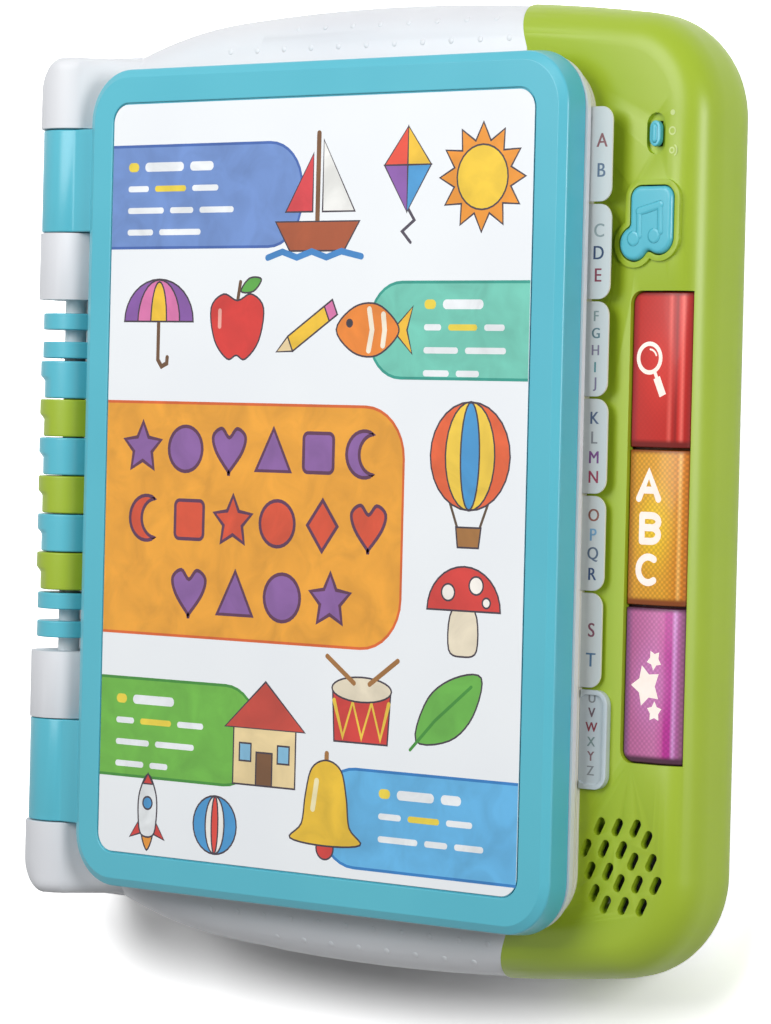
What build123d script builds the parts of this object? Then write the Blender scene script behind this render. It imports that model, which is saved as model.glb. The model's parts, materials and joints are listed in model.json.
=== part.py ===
from build123d import *
import os

os.makedirs("parts", exist_ok=True)

# A children's electronic dictionary: a book-shaped base that holds the electronics, a hinged cover,
# six stiff page leaves on the same rod, and a control panel along the right edge.
# The book lies on its back: +Z comes out of the cover, +Y is the top of the pages, and +X runs from
# the spine to the control panel. The origin is under the middle of the book, on the table.

# ---- Driving dimensions, in millimetres ----

# Base
base_width = 234.6          # spine's outer face to the panel's right wall
base_height = 267.2         # between the crowns of the bowed top and bottom edges
book_thickness = 47.5       # table to the cover's face
foot_thick = 1.2
casing_depth = 31.3         # back face to the face that carries the pages
shell_wall = 2.4
crown_x = 3.3               # where the top and bottom edges stand furthest out
edge_bow_r = 700.0
shoulder_run = 42.0         # body's left wall to where the edge starts to fall towards the spine
shoulder_fall = 11.6        # how far it has fallen where it meets that wall
body_corner_r = 28.0
front_round_r = 9.4
back_round_r = 16.0
parting_z = 8.0             # rear casing below, front shells above
panel_width = 59.0          # seam to the right wall: white casing to its left, green panel to its right
seam_flare = 3.8            # how far the seam leans towards the spine at the edges
seam_knee_drop = 14.1       # crown to the point where the seam starts to lean
panel_step = 0.6            # the panel's walls stand this much proud of the white walls

# Spine
spine_inset = 10.3          # crown to the end of the spine
cap_r = 11.4
cap_length = 20.8
cap_end_round = 8.0
cap_bite = 1.0              # how far its slope runs into the body
knuckle_r = 10.9
knuckle_y = 61.1            # centre of each casing knuckle
knuckle_length = 19.4
knuckle_foot_drop = 3.0     # rod's axis to the top of the knuckle's foot
barrel_r = 10.6
barrel_gap = 0.3            # end play of the cover barrels, between the knuckles and the caps
rod_r = 3.1
spine_below_face = 12.5     # rod's axis below the cover's face
ledge_gap = 0.8             # between the barrels and the ledge under them
spine_corner_r = 8.0
ledge_round_r = 7.0
body_left_gap = 13.2        # rod's axis to the body's left wall
ring_r = 9.4
ring_width = 4.8
outer_ring_gap = 4.0        # knuckle to the outer ring
inner_ring_gap = 0.7        # binders to the inner ring
binder_r = 9.9
binder_low_r = 8.3
binder_pitch = 11.2
binder_width = 10.9
binder_slope = 1.6
binder_edge_r = 0.4
running_clear = 0.08        # radial, a turning piece on the rod
seat_clear = 0.05           # radial, the rod in the pieces that hold it

# Cover
cover_left_gap = 15.0       # rod's axis to the cover's left edge
cover_right_gap = 31.7      # cover's rim to the base's right wall
cover_end_gap = 16.0        # cover's rim to the crowns
cover_thick = 9.5
cover_corner_r = 15.5
cover_draft = 7.0           # degrees
cover_edge_r = 2.6
cover_wall = 2.2
liner_lip = 1.4
liner_inset = 0.9
liner_plug = 2.0
liner_fit = 0.3
window_corner_r = 5.8
window_left_gap = 10.2      # cover's rim to the window
window_right_gap = 12.5
window_end_gap = 10.0
window_recess = 0.5
insert_thick = 0.35
insert_fit = 0.15
strap_top_drop = 4.0        # the straps' valley below the cover's face
strap_bottom_drop = 8.0

# Pages
leaf_count = 6
leaf_thick = 0.5
leaf_pitch = 0.7
leaf_stack_gap = 1.0        # casing face to the lowest leaf
leaf_spine_gap = 0.8        # knuckles to the leaves' spine edge
leaf_right_gap = 3.3        # inside the cover's rim
leaf_end_gap = 7.6
leaf_body_inset = 2.0
leaf_corner_r = 14.0
leaf_shoulder_r = 4.0
leaf_neck_clear = 0.6
tongue_depth = 4.2
tongue_side = 0.8
tab_pitch = 25.7
tab_reach = 8.6             # out of the leaf's right edge
tab_corner_r = 4.0
tab_top_gap = 7.4           # leaf's top edge to the first tab
tab_gap = 0.6
page_thick = 0.7
pad_reach = 9.6
pad_low_z = 1.1
pad_high_z = 1.8
pad_border = 1.3
pad_corner_r = 4.0
pad_margin = 0.7

# Control panel
light_right_gap = 3.4       # light buttons to the right wall
light_width = 18.7
light_top_gap = 79.4        # and to the crowns
light_low_gap = 63.4
light_count = 3
light_corner_r = 3.5
button_clear = 0.35
button_sink = 1.0           # light buttons below the panel's face
button_wall = 1.8
button_skirt = 4.6
button_flange = 1.6
flange_thick = 1.2
button_travel = 1.2
note_travel = 1.0
note_right_gap = 15.3       # note button's centre to the right wall and the upper crown
note_top_gap = 59.8
note_width = 13.7
note_height = 15.6
note_corner_r = 3.2
note_head_r = 4.5
note_proud = 1.6
note_rim = 1.5
note_rim_height = 0.8
note_relief = 0.5
note_edge_r = 1.2
sign_heads = ((-3.4, -6.0), (3.2, -4.0))    # from the button's centre
sign_head_r = 2.0
sign_stem_right = 1.4       # head's centre to its stem
sign_stem_width = 1.1
sign_stem_length = 9.2
sign_beam = 2.0
sign_root = 0.2             # how deep the sign stands in the button
switch_right_gap = 15.2     # switch's centre to the right wall and the upper crown
switch_top_gap = 38.2
switch_slot_width = 6.0
switch_slot_length = 11.0
switch_knob_width = 4.2
switch_knob_length = 6.6
switch_travel = 2.0
switch_sink = 1.2
switch_stem = 2.0
switch_ridge = 0.7
slide_switch_width = 5.0
slide_switch_length = 10.0
touch_gap = 0.1
speaker_right_gap = 21.1    # speaker's centre to the right wall and the lower crown
speaker_low_gap = 35.9
speaker_r = 15.5
speaker_seat_depth = 5.0
speaker_ring_wall = 2.0
speaker_flange = 1.2
speaker_depth = 9.0
magnet_r = 8.5
magnet_thick = 5.0
magnet_edge_r = 0.6
cone_rim_gap = 1.2
cone_rim_width = 1.4
cone_glue_width = 1.0
cone_rim_thick = 0.6
cone_thick = 1.0
dust_cap_rise = 2.2
cone_top_gap = 0.2
slot_long = 5.2
slot_wide = 2.5
slot_lean = 63.0            # degrees from +X
slot_row_x, slot_row_y = 5.9, 0.17
slot_line_x, slot_line_y = -4.34, -6.06
slot_start_x, slot_start_y = -7.2, 10.1

# Electronics and power
board_thick = 1.6
sensor_film_thick = 0.25
main_board_x = -14.0         # over the battery bay
main_board_width = 96.0
main_board_height = 84.0
main_board_drop = 3.0       # below the inside of the front face
board_screw_inset = 5.0
board_post_r = 3.2
chip_size = 16.0
chip_thick = 1.4
blob_thick = 1.1
can_r = 3.2
can_height = 4.4
can_pitch = 11.2
can_left = 28.8
plug_socket_depth = 6.0
plug_socket_height = 3.4
plug_socket_inset = 2.0
key_board_left_gap = 5.2    # beyond the light buttons' left edge
key_board_right_gap = 2.3   # inside their right edge
key_board_top_gap = 8.6     # beyond the switch
key_board_low_gap = 2.8     # beyond the light buttons' lower edge
key_board_z = 20.4
keypad_thick = 1.4
keypad_inset = 1.0
rib_inset = 8.0
rib_thick = 2.0
rib_length = 6.0
dome_r = 4.6
dome_height = 1.4
plunger_r = 3.0
plunger_gap = 0.1           # left over the dome when a button is pressed
led_r = 1.5
led_height = 2.4
cell_r = 7.1
cell_length = 50.0
cell_nub_r = 2.6
cell_nub = 1.0
cell_count = 3
cell_pitch = 15.2
bay_clear = 0.6
bay_wall = 2.0
contact_thick = 0.4
contact_space = 3.6
contact_inset = 1.0
contact_gap = 0.05
spring_r = 4.6
spring_tip_r = 3.1
door_ledge = 2.0
door_fit = 0.3
door_thick = 1.4
door_tab_r = 4.0
door_tab_depth = 3.3
door_screw_sink = 0.2
spine_board_width = 9.0
sensor_width = 2.2
sensor_slot = 3.0

# Fasteners and feet
screw_r = 1.4
screw_head_r = 2.7
screw_head = 1.8
screw_sink = 2.6
screw_length = 16.0
pilot_clear = 0.05
screw_inset = 2.0
screw_tip_gap = 1.0
boss_r = 4.2
post_r = 3.4
boss_top_gap = 1.0
foot_r = 7.0
foot_left_gap = 27.3
foot_right_gap = 31.3
foot_end_gap = 35.6
small_screw_length = 5.0

# ---- Places worked out from them ----

back_z = foot_thick
face_z = back_z + casing_depth
floor_z = back_z + shell_wall
ceiling_z = face_z - shell_wall
cover_face_z = book_thickness
cover_low_z = cover_face_z - cover_thick
cover_rim_z = cover_low_z + liner_lip
right_x = base_width / 2
spine_left_x = -base_width / 2
crown_y = base_height / 2
seam_x = right_x - panel_width
seam_knee_y = crown_y - seam_knee_drop
axis_x = spine_left_x + cap_r
axis_z = cover_face_z - spine_below_face
spine_end_y = crown_y - spine_inset
spine_height = 2 * spine_end_y
cap_y = spine_end_y - cap_length / 2
cap_inner_y = spine_end_y - cap_length
knuckle_end_y = knuckle_y + knuckle_length / 2
barrel_length = cap_inner_y - knuckle_end_y - 2 * barrel_gap
barrel_y = (cap_inner_y + knuckle_end_y) / 2
outer_ring_y = knuckle_y - knuckle_length / 2 - outer_ring_gap - ring_width / 2
inner_ring_y = leaf_count / 2 * binder_pitch + inner_ring_gap + ring_width / 2
body_left_x = axis_x + body_left_gap
shoulder_x = body_left_x + shoulder_run
shoulder_drop_y = crown_y - shoulder_fall
ledge_z = axis_z - knuckle_r - ledge_gap
cover_left_x = axis_x + cover_left_gap
cover_right_x = right_x - cover_right_gap
cover_mid_x = (cover_left_x + cover_right_x) / 2
cover_width = cover_right_x - cover_left_x
cover_height = base_height - 2 * cover_end_gap
window_width = cover_width - window_left_gap - window_right_gap
window_height = cover_height - 2 * window_end_gap
window_mid_x = cover_left_x + window_left_gap + window_width / 2
leaf_left_x = axis_x + knuckle_r + leaf_spine_gap
leaf_body_x = cover_left_x + leaf_body_inset
leaf_right_x = cover_right_x - leaf_right_gap
leaf_height = cover_height - 2 * leaf_end_gap
tab_right_x = leaf_right_x + tab_reach
tab_top_y = leaf_height / 2 - tab_top_gap
pad_right_x = leaf_right_x + pad_reach
tongue_x = axis_x + binder_r - tongue_depth
rod_length = spine_height - 2 * shell_wall
light_right_x = right_x - light_right_gap
light_left_x = light_right_x - light_width
light_top_y = crown_y - light_top_gap
light_length = light_top_y + crown_y - light_low_gap
note_x = right_x - note_right_gap
note_y = crown_y - note_top_gap
switch_x = right_x - switch_right_gap
switch_y = crown_y - switch_top_gap
speaker_x = right_x - speaker_right_gap
speaker_y = speaker_low_gap - crown_y
key_board_left = light_left_x - key_board_left_gap
key_board_right = light_right_x - key_board_right_gap
key_board_top = switch_y + key_board_top_gap
key_board_bottom = light_low_gap - crown_y - key_board_low_gap
rod_axis = Axis((axis_x, 0, axis_z), (0, 1, 0))


def edge_y(x, rise):
    """Half height of the body at x, on its long bow."""
    return rise - edge_bow_r + (edge_bow_r**2 - (x - crown_x) ** 2) ** 0.5


def save(piece, name):
    piece.part.label = name
    export_step(piece.part, f"parts/{name}.step")


def casing_block(side_inset, face_inset):
    """The base as one block, drawn in by side_inset all round and by face_inset at front and back."""
    right = right_x - panel_step
    low, high = back_z + face_inset, face_z - face_inset
    with BuildPart() as ledge:
        with BuildSketch(Plane.XY.offset(low)):
            left, end = spine_left_x + side_inset, body_left_x + 2 * shell_wall
            with Locations(((left + end) / 2, 0)):
                Rectangle(end - left, spine_height - 2 * side_inset)
        extrude(amount=ledge_z - face_inset - low)
        corners = ledge.edges().filter_by(Axis.Z).group_by(Axis.X)[0]
        fillet(corners, spine_corner_r - side_inset)
        fillet(ledge.faces().sort_by(Axis.Z)[0].edges().sort_by(Axis.X)[:-1], ledge_round_r - side_inset)
    with BuildPart() as block:
        with BuildSketch(Plane.XY.offset(low)) as outline:
            with BuildLine():
                bow = ThreePointArc(
                    (shoulder_x, edge_y(shoulder_x, crown_y)),
                    (crown_x, crown_y),
                    (right, edge_y(right, crown_y)),
                )
                TangentArc(bow @ 0, (body_left_x, shoulder_drop_y), tangent=-(bow % 0))
                mirror(about=Plane.XZ)
                Line((right, edge_y(right, crown_y)), (right, -edge_y(right, crown_y)))
                Line((body_left_x, shoulder_drop_y), (body_left_x, -shoulder_drop_y))
            make_face()
            fillet(outline.vertices().group_by(Axis.X)[-1], body_corner_r)
            if side_inset:
                offset(amount=-side_inset, mode=Mode.REPLACE)
        extrude(amount=high - low)
        fillet(block.faces().sort_by(Axis.Z)[-1].edges().sort_by(Axis.X)[1:], front_round_r - side_inset)
        fillet(block.faces().sort_by(Axis.Z)[0].edges().sort_by(Axis.X)[1:], back_round_r - side_inset)
        add(ledge.part)
    return block.part


def slab(x_low, x_high, y_low, y_high, z_low, z_high, mode=Mode.ADD):
    """A box by its six faces, in the open part."""
    middle = ((x_low + x_high) / 2, (y_low + y_high) / 2, (z_low + z_high) / 2)
    with Locations(middle):
        Box(x_high - x_low, y_high - y_low, z_high - z_low, mode=mode)


def rod(radius, y, length, mode=Mode.ADD):
    """A cylinder about the hinge rod's axis, centred at y, in the open part."""
    with Locations((axis_x, y, axis_z)):
        Cylinder(radius, length, rotation=(90, 0, 0), mode=mode)


def post(radius, x, y, z_low, z_high, mode=Mode.ADD):
    """An upright cylinder, in the open part."""
    with Locations((x, y, z_low)):
        Cylinder(radius, z_high - z_low, align=(Align.CENTER, Align.CENTER, Align.MIN), mode=mode)


# ---- Shared places ----

screw_y = crown_y - back_round_r - 2 * boss_r - screw_inset
casing_screw_places = [(x, y) for x in (axis_x + boss_r, crown_x) for y in (-screw_y, screw_y)]
panel_screw_places = [
    (seam_x + 4 * boss_r, -screw_y),
    (seam_x + 4 * boss_r, screw_y),
    (light_left_x - 2 * boss_r - boss_top_gap, light_top_y + boss_r),
    (light_left_x - 2 * boss_r - boss_top_gap, light_top_y - light_length - boss_r),
]
screw_places = casing_screw_places + panel_screw_places
foot_x_places = (spine_left_x + foot_left_gap, right_x - foot_right_gap)
foot_places = [(x, side * (crown_y - foot_end_gap)) for x in foot_x_places for side in (-1, 1)]
button_length = light_length / light_count
button_tops = [light_top_y - number * button_length for number in range(light_count)]
button_mid_x = (light_left_x + light_right_x) / 2
binder_places = [((leaf_count - 1) / 2 - number) * binder_pitch for number in range(leaf_count)]
key_ceiling = key_board_z + board_thick
keypad_z = key_ceiling + keypad_thick
cell_axis_z = floor_z + contact_thick + cell_r
bay_x = main_board_x
bay_width = (cell_count - 1) * cell_pitch + 2 * (cell_r + bay_clear)
bay_length = cell_length + cell_nub + 2 * contact_space
bay_roof_z = cell_axis_z + cell_r + bay_clear
door_width = bay_width + 2 * door_ledge
door_length = bay_length + 2 * door_ledge
door_screw_y = -door_length / 2 - door_tab_r / 2
board_z = ceiling_z - sensor_film_thick - main_board_drop - board_thick
board_screw_places = [
    (main_board_x + side * (main_board_width / 2 - board_screw_inset),
     end * (main_board_height / 2 - board_screw_inset))
    for side in (-1, 1)
    for end in (-1, 1)
]

# The panel's side of the seam, as a flat region seen from above.
with BuildSketch() as panel_region:
    far = crown_y + shell_wall
    with BuildLine():
        Polyline(
            (seam_x, -seam_knee_y),
            (seam_x, seam_knee_y),
            (seam_x - seam_flare, edge_y(seam_x, crown_y)),
            (seam_x - seam_flare, far),
            (right_x + shell_wall, far),
            (right_x + shell_wall, -far),
            (seam_x - seam_flare, -far),
            (seam_x - seam_flare, -edge_y(seam_x, crown_y)),
            close=True,
        )
    make_face()

white_block = casing_block(0, 0)
hollow = casing_block(shell_wall, shell_wall)
with BuildPart() as panel_block:
    add(casing_block(-panel_step, 0))
    with BuildSketch(Plane.XY):
        add(panel_region.sketch)
    extrude(amount=book_thickness, mode=Mode.INTERSECT)

# ---- Rear casing: a shallow tray with the battery bay and the screw bosses ----

with BuildPart() as rear_casing:
    add(white_block)
    add(panel_block.part)
    split(bisect_by=Plane.XY.offset(parting_z), keep=Keep.BOTTOM)
    add(hollow, mode=Mode.SUBTRACT)
    for x, y in screw_places:
        post(boss_r, x, y, floor_z, parting_z + boss_top_gap)
    # The door's round tab sits in a cup beside the bay, with the screw's thread above it.
    cup_z = back_z + door_tab_depth + door_fit
    post(door_tab_r + door_fit + bay_wall, bay_x, door_screw_y, floor_z, cup_z + small_screw_length)
    bay_box = (bay_x - bay_width / 2, bay_x + bay_width / 2, -bay_length / 2, bay_length / 2)
    left, right, low, high = bay_box
    slab(left - bay_wall, right + bay_wall, low - bay_wall, high + bay_wall,
         floor_z, bay_roof_z + bay_wall)
    slab(left, right, low, high, back_z, bay_roof_z, Mode.SUBTRACT)
    slab(left - door_ledge - door_fit, right + door_ledge + door_fit, low - door_ledge - door_fit,
         high + door_ledge + door_fit, back_z, back_z + door_thick, Mode.SUBTRACT)
    post(door_tab_r + door_fit, bay_x, door_screw_y, back_z, cup_z, Mode.SUBTRACT)
    post(screw_r + pilot_clear, bay_x, door_screw_y, back_z, cup_z + small_screw_length - screw_tip_gap,
         Mode.SUBTRACT)
    for x, y in screw_places:
        post(screw_r + door_fit, x, y, back_z, parting_z + boss_top_gap, Mode.SUBTRACT)
        post(screw_head_r + door_fit, x, y, back_z, back_z + screw_sink, Mode.SUBTRACT)
    # Ribs that carry the key board and the spine's sensor board.
    key_ribs = [(key_board_left + 1.5 * rib_thick, y, key_board_z)
                for y in (key_board_bottom + rib_inset, 0, key_board_top - rib_inset)]
    spine_ribs = [(axis_x, y, ledge_z - 2 * shell_wall - board_thick)
                  for y in (binder_places[0], binder_places[-1])]
    for x, y, top in key_ribs + spine_ribs:
        slab(x - rib_thick / 2, x + rib_thick / 2, y - rib_length / 2, y + rib_length / 2, floor_z, top)
save(rear_casing, "rear_casing")

# ---- Front casing: the white shell with the spine's end caps and knuckles ----

with BuildPart() as end_cap:
    rod(cap_r, cap_y, cap_length)
    fillet(end_cap.edges().filter_by(GeomType.CIRCLE).sort_by(Axis.Y)[-1], cap_end_round)
    slope = cap_r * 0.5**0.5
    shoulder = (body_left_x + cap_bite, face_z)
    block_low = ledge_z - shell_wall
    with BuildSketch(Plane.XZ.offset(-cap_inner_y)):
        with BuildLine():
            Polyline((axis_x, axis_z), shoulder, (axis_x + slope, axis_z + slope), close=True)
        make_face()
    extrude(amount=-(cap_length - cap_end_round))
    with BuildSketch(Plane.XY.offset(block_low)) as cap_plan:
        with Locations(((spine_left_x + body_left_x + shell_wall) / 2, cap_y)):
            Rectangle(body_left_x + shell_wall - spine_left_x, cap_length)
        fillet(cap_plan.vertices().group_by(Axis.X)[0].sort_by(Axis.Y)[-1], cap_end_round)
    extrude(amount=axis_z - block_low)

with BuildPart() as front_casing:
    add(white_block)
    split(bisect_by=Plane.XY.offset(parting_z), keep=Keep.TOP)
    with BuildSketch(Plane.XY):
        add(panel_region.sketch)
    extrude(amount=book_thickness, mode=Mode.SUBTRACT)
    add(hollow, mode=Mode.SUBTRACT)
    add(end_cap.part)
    mirror(end_cap.part, about=Plane.XZ)
    for y in (-knuckle_y, knuckle_y):
        rod(knuckle_r, y, knuckle_length)
        slab(axis_x - knuckle_r, body_left_x + shell_wall / 2, y - knuckle_length / 2,
             y + knuckle_length / 2, ledge_z - shell_wall, axis_z - knuckle_foot_drop)
    rod(rod_r + seat_clear, 0, rod_length, Mode.SUBTRACT)
    for y in binder_places:
        slab(axis_x - sensor_slot / 2, axis_x + sensor_slot / 2, y - sensor_slot / 2, y + sensor_slot / 2,
             ledge_z - 2 * shell_wall, axis_z, Mode.SUBTRACT)
    for x, y in casing_screw_places:
        roof_z = ledge_z - shell_wall if x < body_left_x else ceiling_z
        post(post_r, x, y, parting_z + boss_top_gap, roof_z)
        post(screw_r + pilot_clear, x, y, parting_z, back_z + screw_sink + screw_length, Mode.SUBTRACT)
    for x, y in board_screw_places:
        post(board_post_r, x, y, board_z + board_thick, ceiling_z)
        post(screw_r + pilot_clear, x, y, board_z, ceiling_z, Mode.SUBTRACT)
save(front_casing, "front_casing")


# ---- Control panel: the green shell with its openings ----

with BuildSketch() as note_outline:
    with Locations((note_x, note_y)):
        RectangleRounded(note_width, note_height, note_corner_r)
    with Locations((note_x - note_width / 2 + note_head_r / 4, note_y - note_height / 2 + note_head_r / 9)):
        Circle(note_head_r)
    with Locations((note_x + note_width / 2 - note_head_r, note_y - note_height / 2 + note_head_r / 2)):
        Circle(note_head_r)
    offset(amount=note_rim, mode=Mode.REPLACE)
    offset(amount=-note_rim, mode=Mode.REPLACE)

with BuildPart() as green_panel:
    add(panel_block.part)
    split(bisect_by=Plane.XY.offset(parting_z), keep=Keep.TOP)
    add(hollow, mode=Mode.SUBTRACT)
    # The raised rim round the note button, then the button's hole.
    with BuildSketch(Plane.XY.offset(ceiling_z)):
        add(note_outline.sketch)
        offset(amount=button_clear + note_rim, mode=Mode.REPLACE)
    extrude(amount=shell_wall + note_rim_height)
    with BuildSketch(Plane.XY.offset(ceiling_z - shell_wall)):
        add(note_outline.sketch)
        offset(amount=button_clear, mode=Mode.REPLACE)
    extrude(amount=2 * shell_wall + note_rim_height, mode=Mode.SUBTRACT)
    # One opening for the three light buttons, over the rounded edge.
    with BuildSketch(Plane.XY.offset(key_ceiling)) as light_opening:
        with Locations((button_mid_x, light_top_y - light_length / 2)):
            Rectangle(light_right_x - light_left_x, light_length)
        fillet(light_opening.vertices().group_by(Axis.X)[0], light_corner_r)
    extrude(amount=face_z - key_ceiling, mode=Mode.SUBTRACT)
    # The slide switch: a shallow well and the stem's slot.
    with BuildSketch(Plane.XY.offset(face_z)):
        with Locations((switch_x, switch_y)):
            SlotOverall(switch_slot_length, switch_slot_width, rotation=90)
    extrude(amount=-switch_sink, mode=Mode.SUBTRACT)
    stem_slot = switch_stem / 2 + switch_travel + button_clear
    slab(switch_x - switch_stem / 2 - button_clear, switch_x + switch_stem / 2 + button_clear,
         switch_y - stem_slot, switch_y + stem_slot, ceiling_z, face_z, Mode.SUBTRACT)
    # The speaker's seat and its slots, two groups that mirror each other through the middle.
    post(speaker_r, speaker_x, speaker_y, ceiling_z - speaker_seat_depth, ceiling_z)
    post(speaker_r - speaker_ring_wall, speaker_x, speaker_y, ceiling_z - speaker_seat_depth, ceiling_z,
         Mode.SUBTRACT)
    half_group = [
        (slot_start_x + row * slot_row_x + step * slot_line_x,
         slot_start_y + row * slot_row_y + step * slot_line_y)
        for row in range(3)
        for step in range(2 + row)
    ]
    with BuildSketch(Plane.XY.offset(face_z)):
        for side in (-1, 1):
            with Locations([(speaker_x + side * x, speaker_y + side * y) for x, y in half_group]):
                SlotOverall(slot_long, slot_wide, rotation=slot_lean)
    extrude(amount=-1.25 * shell_wall, mode=Mode.SUBTRACT)
    for x, y in panel_screw_places:
        post(post_r, x, y, parting_z + boss_top_gap, ceiling_z)
        post(screw_r + pilot_clear, x, y, parting_z, back_z + screw_sink + screw_length, Mode.SUBTRACT)
save(green_panel, "green_panel")

# ---- Hinge rod and its rings ----

with BuildPart() as hinge_rod:
    rod(rod_r, 0, rod_length - 2 * seat_clear)
save(hinge_rod, "hinge_rod")

with BuildPart() as spacer_rings:
    for y in (-outer_ring_y, -inner_ring_y, inner_ring_y, outer_ring_y):
        rod(ring_r, y, ring_width)
    fillet(spacer_rings.edges().filter_by(GeomType.CIRCLE), binder_edge_r)
    rod(rod_r + running_clear, 0, spine_height, Mode.SUBTRACT)
save(spacer_rings, "spacer_rings")

# ---- Cover ----

with BuildPart() as cover_shell:
    with BuildSketch(Plane.XY.offset(cover_rim_z)):
        with Locations((cover_mid_x, 0)):
            RectangleRounded(cover_width, cover_height, cover_corner_r)
    extrude(amount=cover_face_z - cover_rim_z, taper=cover_draft)
    fillet(cover_shell.faces().sort_by(Axis.Z)[-1].edges(), cover_edge_r)
    with BuildSketch(Plane.XY.offset(cover_rim_z)):
        with Locations((cover_mid_x, 0)):
            RectangleRounded(cover_width - 2 * cover_wall, cover_height - 2 * cover_wall,
                             cover_corner_r - cover_wall)
    extrude(amount=cover_thick - liner_lip - cover_wall, taper=cover_draft, mode=Mode.SUBTRACT)
    with BuildSketch(Plane.XY.offset(cover_face_z)):
        with Locations((window_mid_x, 0)):
            RectangleRounded(window_width, window_height, window_corner_r)
    extrude(amount=-window_recess, mode=Mode.SUBTRACT)
    for y in (-barrel_y, barrel_y):
        rod(barrel_r, y, barrel_length)
        slab(axis_x + rod_r, cover_left_x + cover_wall / 2, y - barrel_length / 2, y + barrel_length / 2,
             cover_face_z - strap_bottom_drop, cover_face_z - strap_top_drop)
        rod(rod_r + running_clear, y, barrel_length, Mode.SUBTRACT)
save(cover_shell, "cover_shell")

with BuildPart() as cover_insert:
    with BuildSketch(Plane.XY.offset(cover_face_z - window_recess)):
        with Locations((window_mid_x, 0)):
            RectangleRounded(window_width - 2 * insert_fit, window_height - 2 * insert_fit,
                             window_corner_r - insert_fit)
    extrude(amount=insert_thick)
save(cover_insert, "cover_insert")

with BuildPart() as cover_liner:
    with BuildSketch(Plane.XY.offset(cover_low_z)):
        with Locations((cover_mid_x, 0)):
            RectangleRounded(cover_width - 2 * liner_inset, cover_height - 2 * liner_inset,
                             cover_corner_r - liner_inset)
    extrude(amount=liner_lip)
    # The rib that plugs into the shell.
    plug = cover_wall + liner_fit
    for inset, mode in ((plug, Mode.ADD), (plug + liner_plug, Mode.SUBTRACT)):
        with BuildSketch(Plane.XY.offset(cover_rim_z)):
            with Locations((cover_mid_x, 0)):
                RectangleRounded(cover_width - 2 * inset, cover_height - 2 * inset, cover_corner_r - inset)
        extrude(amount=liner_plug, taper=cover_draft, mode=mode)
save(cover_liner, "cover_liner")

# ---- Pages: six stiff leaves, each gripped by its own binder on the rod ----

def page_outline(left):
    """The sheet in the open sketch: rounded outer corners, from left to the leaves' right edge."""
    with BuildSketch(mode=Mode.PRIVATE) as sheet:
        with Locations(((left + leaf_right_x) / 2, 0)):
            Rectangle(leaf_right_x - left, leaf_height)
        fillet(sheet.vertices().group_by(Axis.X)[-1], leaf_corner_r)
        fillet(sheet.vertices().group_by(Axis.X)[0], leaf_shoulder_r)
    return sheet.sketch


for number, y in enumerate(binder_places):
    low = face_z + leaf_stack_gap + (leaf_count - 1 - number) * leaf_pitch
    neck_height = 2 * (cap_inner_y - leaf_neck_clear)
    tab_high = tab_top_y - number * tab_pitch
    with BuildPart() as leaf:
        with BuildSketch(Plane.XY.offset(low)):
            add(page_outline(leaf_body_x))
            with Locations(((leaf_left_x + leaf_body_x) / 2 + leaf_shoulder_r, 0)):
                Rectangle(leaf_body_x - leaf_left_x + 2 * leaf_shoulder_r, neck_height)
            with Locations(((tongue_x + leaf_left_x) / 2, y)):
                Rectangle(leaf_left_x - tongue_x, binder_width - 2 * tongue_side)
            tab_left = leaf_right_x - tab_corner_r
            tab_tall = tab_pitch - tab_gap
            with Locations(((tab_left + tab_right_x) / 2, tab_high - tab_tall / 2)):
                RectangleRounded(tab_right_x - tab_left, tab_tall, tab_corner_r - tab_gap / 2)
        extrude(amount=leaf_thick)
    save(leaf, f"leaf_{number + 1}")

    with BuildPart() as binder:
        with BuildSketch(Plane.XY.offset(axis_z)):
            half = binder_width / 2
            with BuildLine():
                Polyline(
                    (axis_x, y - half),
                    (axis_x + binder_low_r - binder_edge_r, y - half),
                    (axis_x + binder_low_r, y - half + binder_edge_r),
                    (axis_x + binder_low_r, y - binder_slope / 4),
                    (axis_x + binder_r, y + binder_slope * 3 / 4),
                    (axis_x + binder_r, y + half - binder_edge_r),
                    (axis_x + binder_r - binder_edge_r, y + half),
                    (axis_x, y + half),
                    close=True,
                )
            make_face()
        revolve(axis=rod_axis)
        rod(rod_r + running_clear, y, binder_width + 1, Mode.SUBTRACT)
        slab(tongue_x, axis_x + binder_r + 1, y - half + tongue_side, y + half - tongue_side,
             low, low + leaf_thick, Mode.SUBTRACT)
    save(binder, f"binder_{number + 1}")

with BuildPart() as last_page:
    with BuildSketch(Plane.XY.offset(face_z)):
        add(page_outline(leaf_body_x))
    extrude(amount=page_thick)
save(last_page, "last_page")

with BuildPart() as last_tab:
    pad_top = tab_top_y - leaf_count * tab_pitch
    pad_middle = ((leaf_right_x + pad_right_x) / 2, pad_top - (tab_pitch + tab_gap) / 2)
    pad_size = (pad_right_x - leaf_right_x, tab_pitch + tab_gap)
    with BuildSketch(Plane.XY.offset(face_z)) as pad_plate:
        with Locations(pad_middle):
            Rectangle(*pad_size)
        fillet(pad_plate.vertices().group_by(Axis.X)[-1], pad_corner_r)
    extrude(amount=pad_low_z)
    with BuildSketch(Plane.XY.offset(face_z)) as pad_rim:
        with Locations((pad_middle[0] + pad_margin / 2, pad_middle[1])):
            Rectangle(pad_size[0] - pad_margin, pad_size[1])
        fillet(pad_rim.vertices().group_by(Axis.X)[-1], pad_corner_r)
        with Locations((pad_middle[0] - pad_border / 2, pad_middle[1])):
            RectangleRounded(pad_size[0] - pad_border, pad_size[1] - 2 * pad_border,
                             pad_corner_r - pad_border, mode=Mode.SUBTRACT)
    extrude(amount=pad_high_z)
save(last_tab, "last_tab")

# ---- Buttons ----

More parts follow.
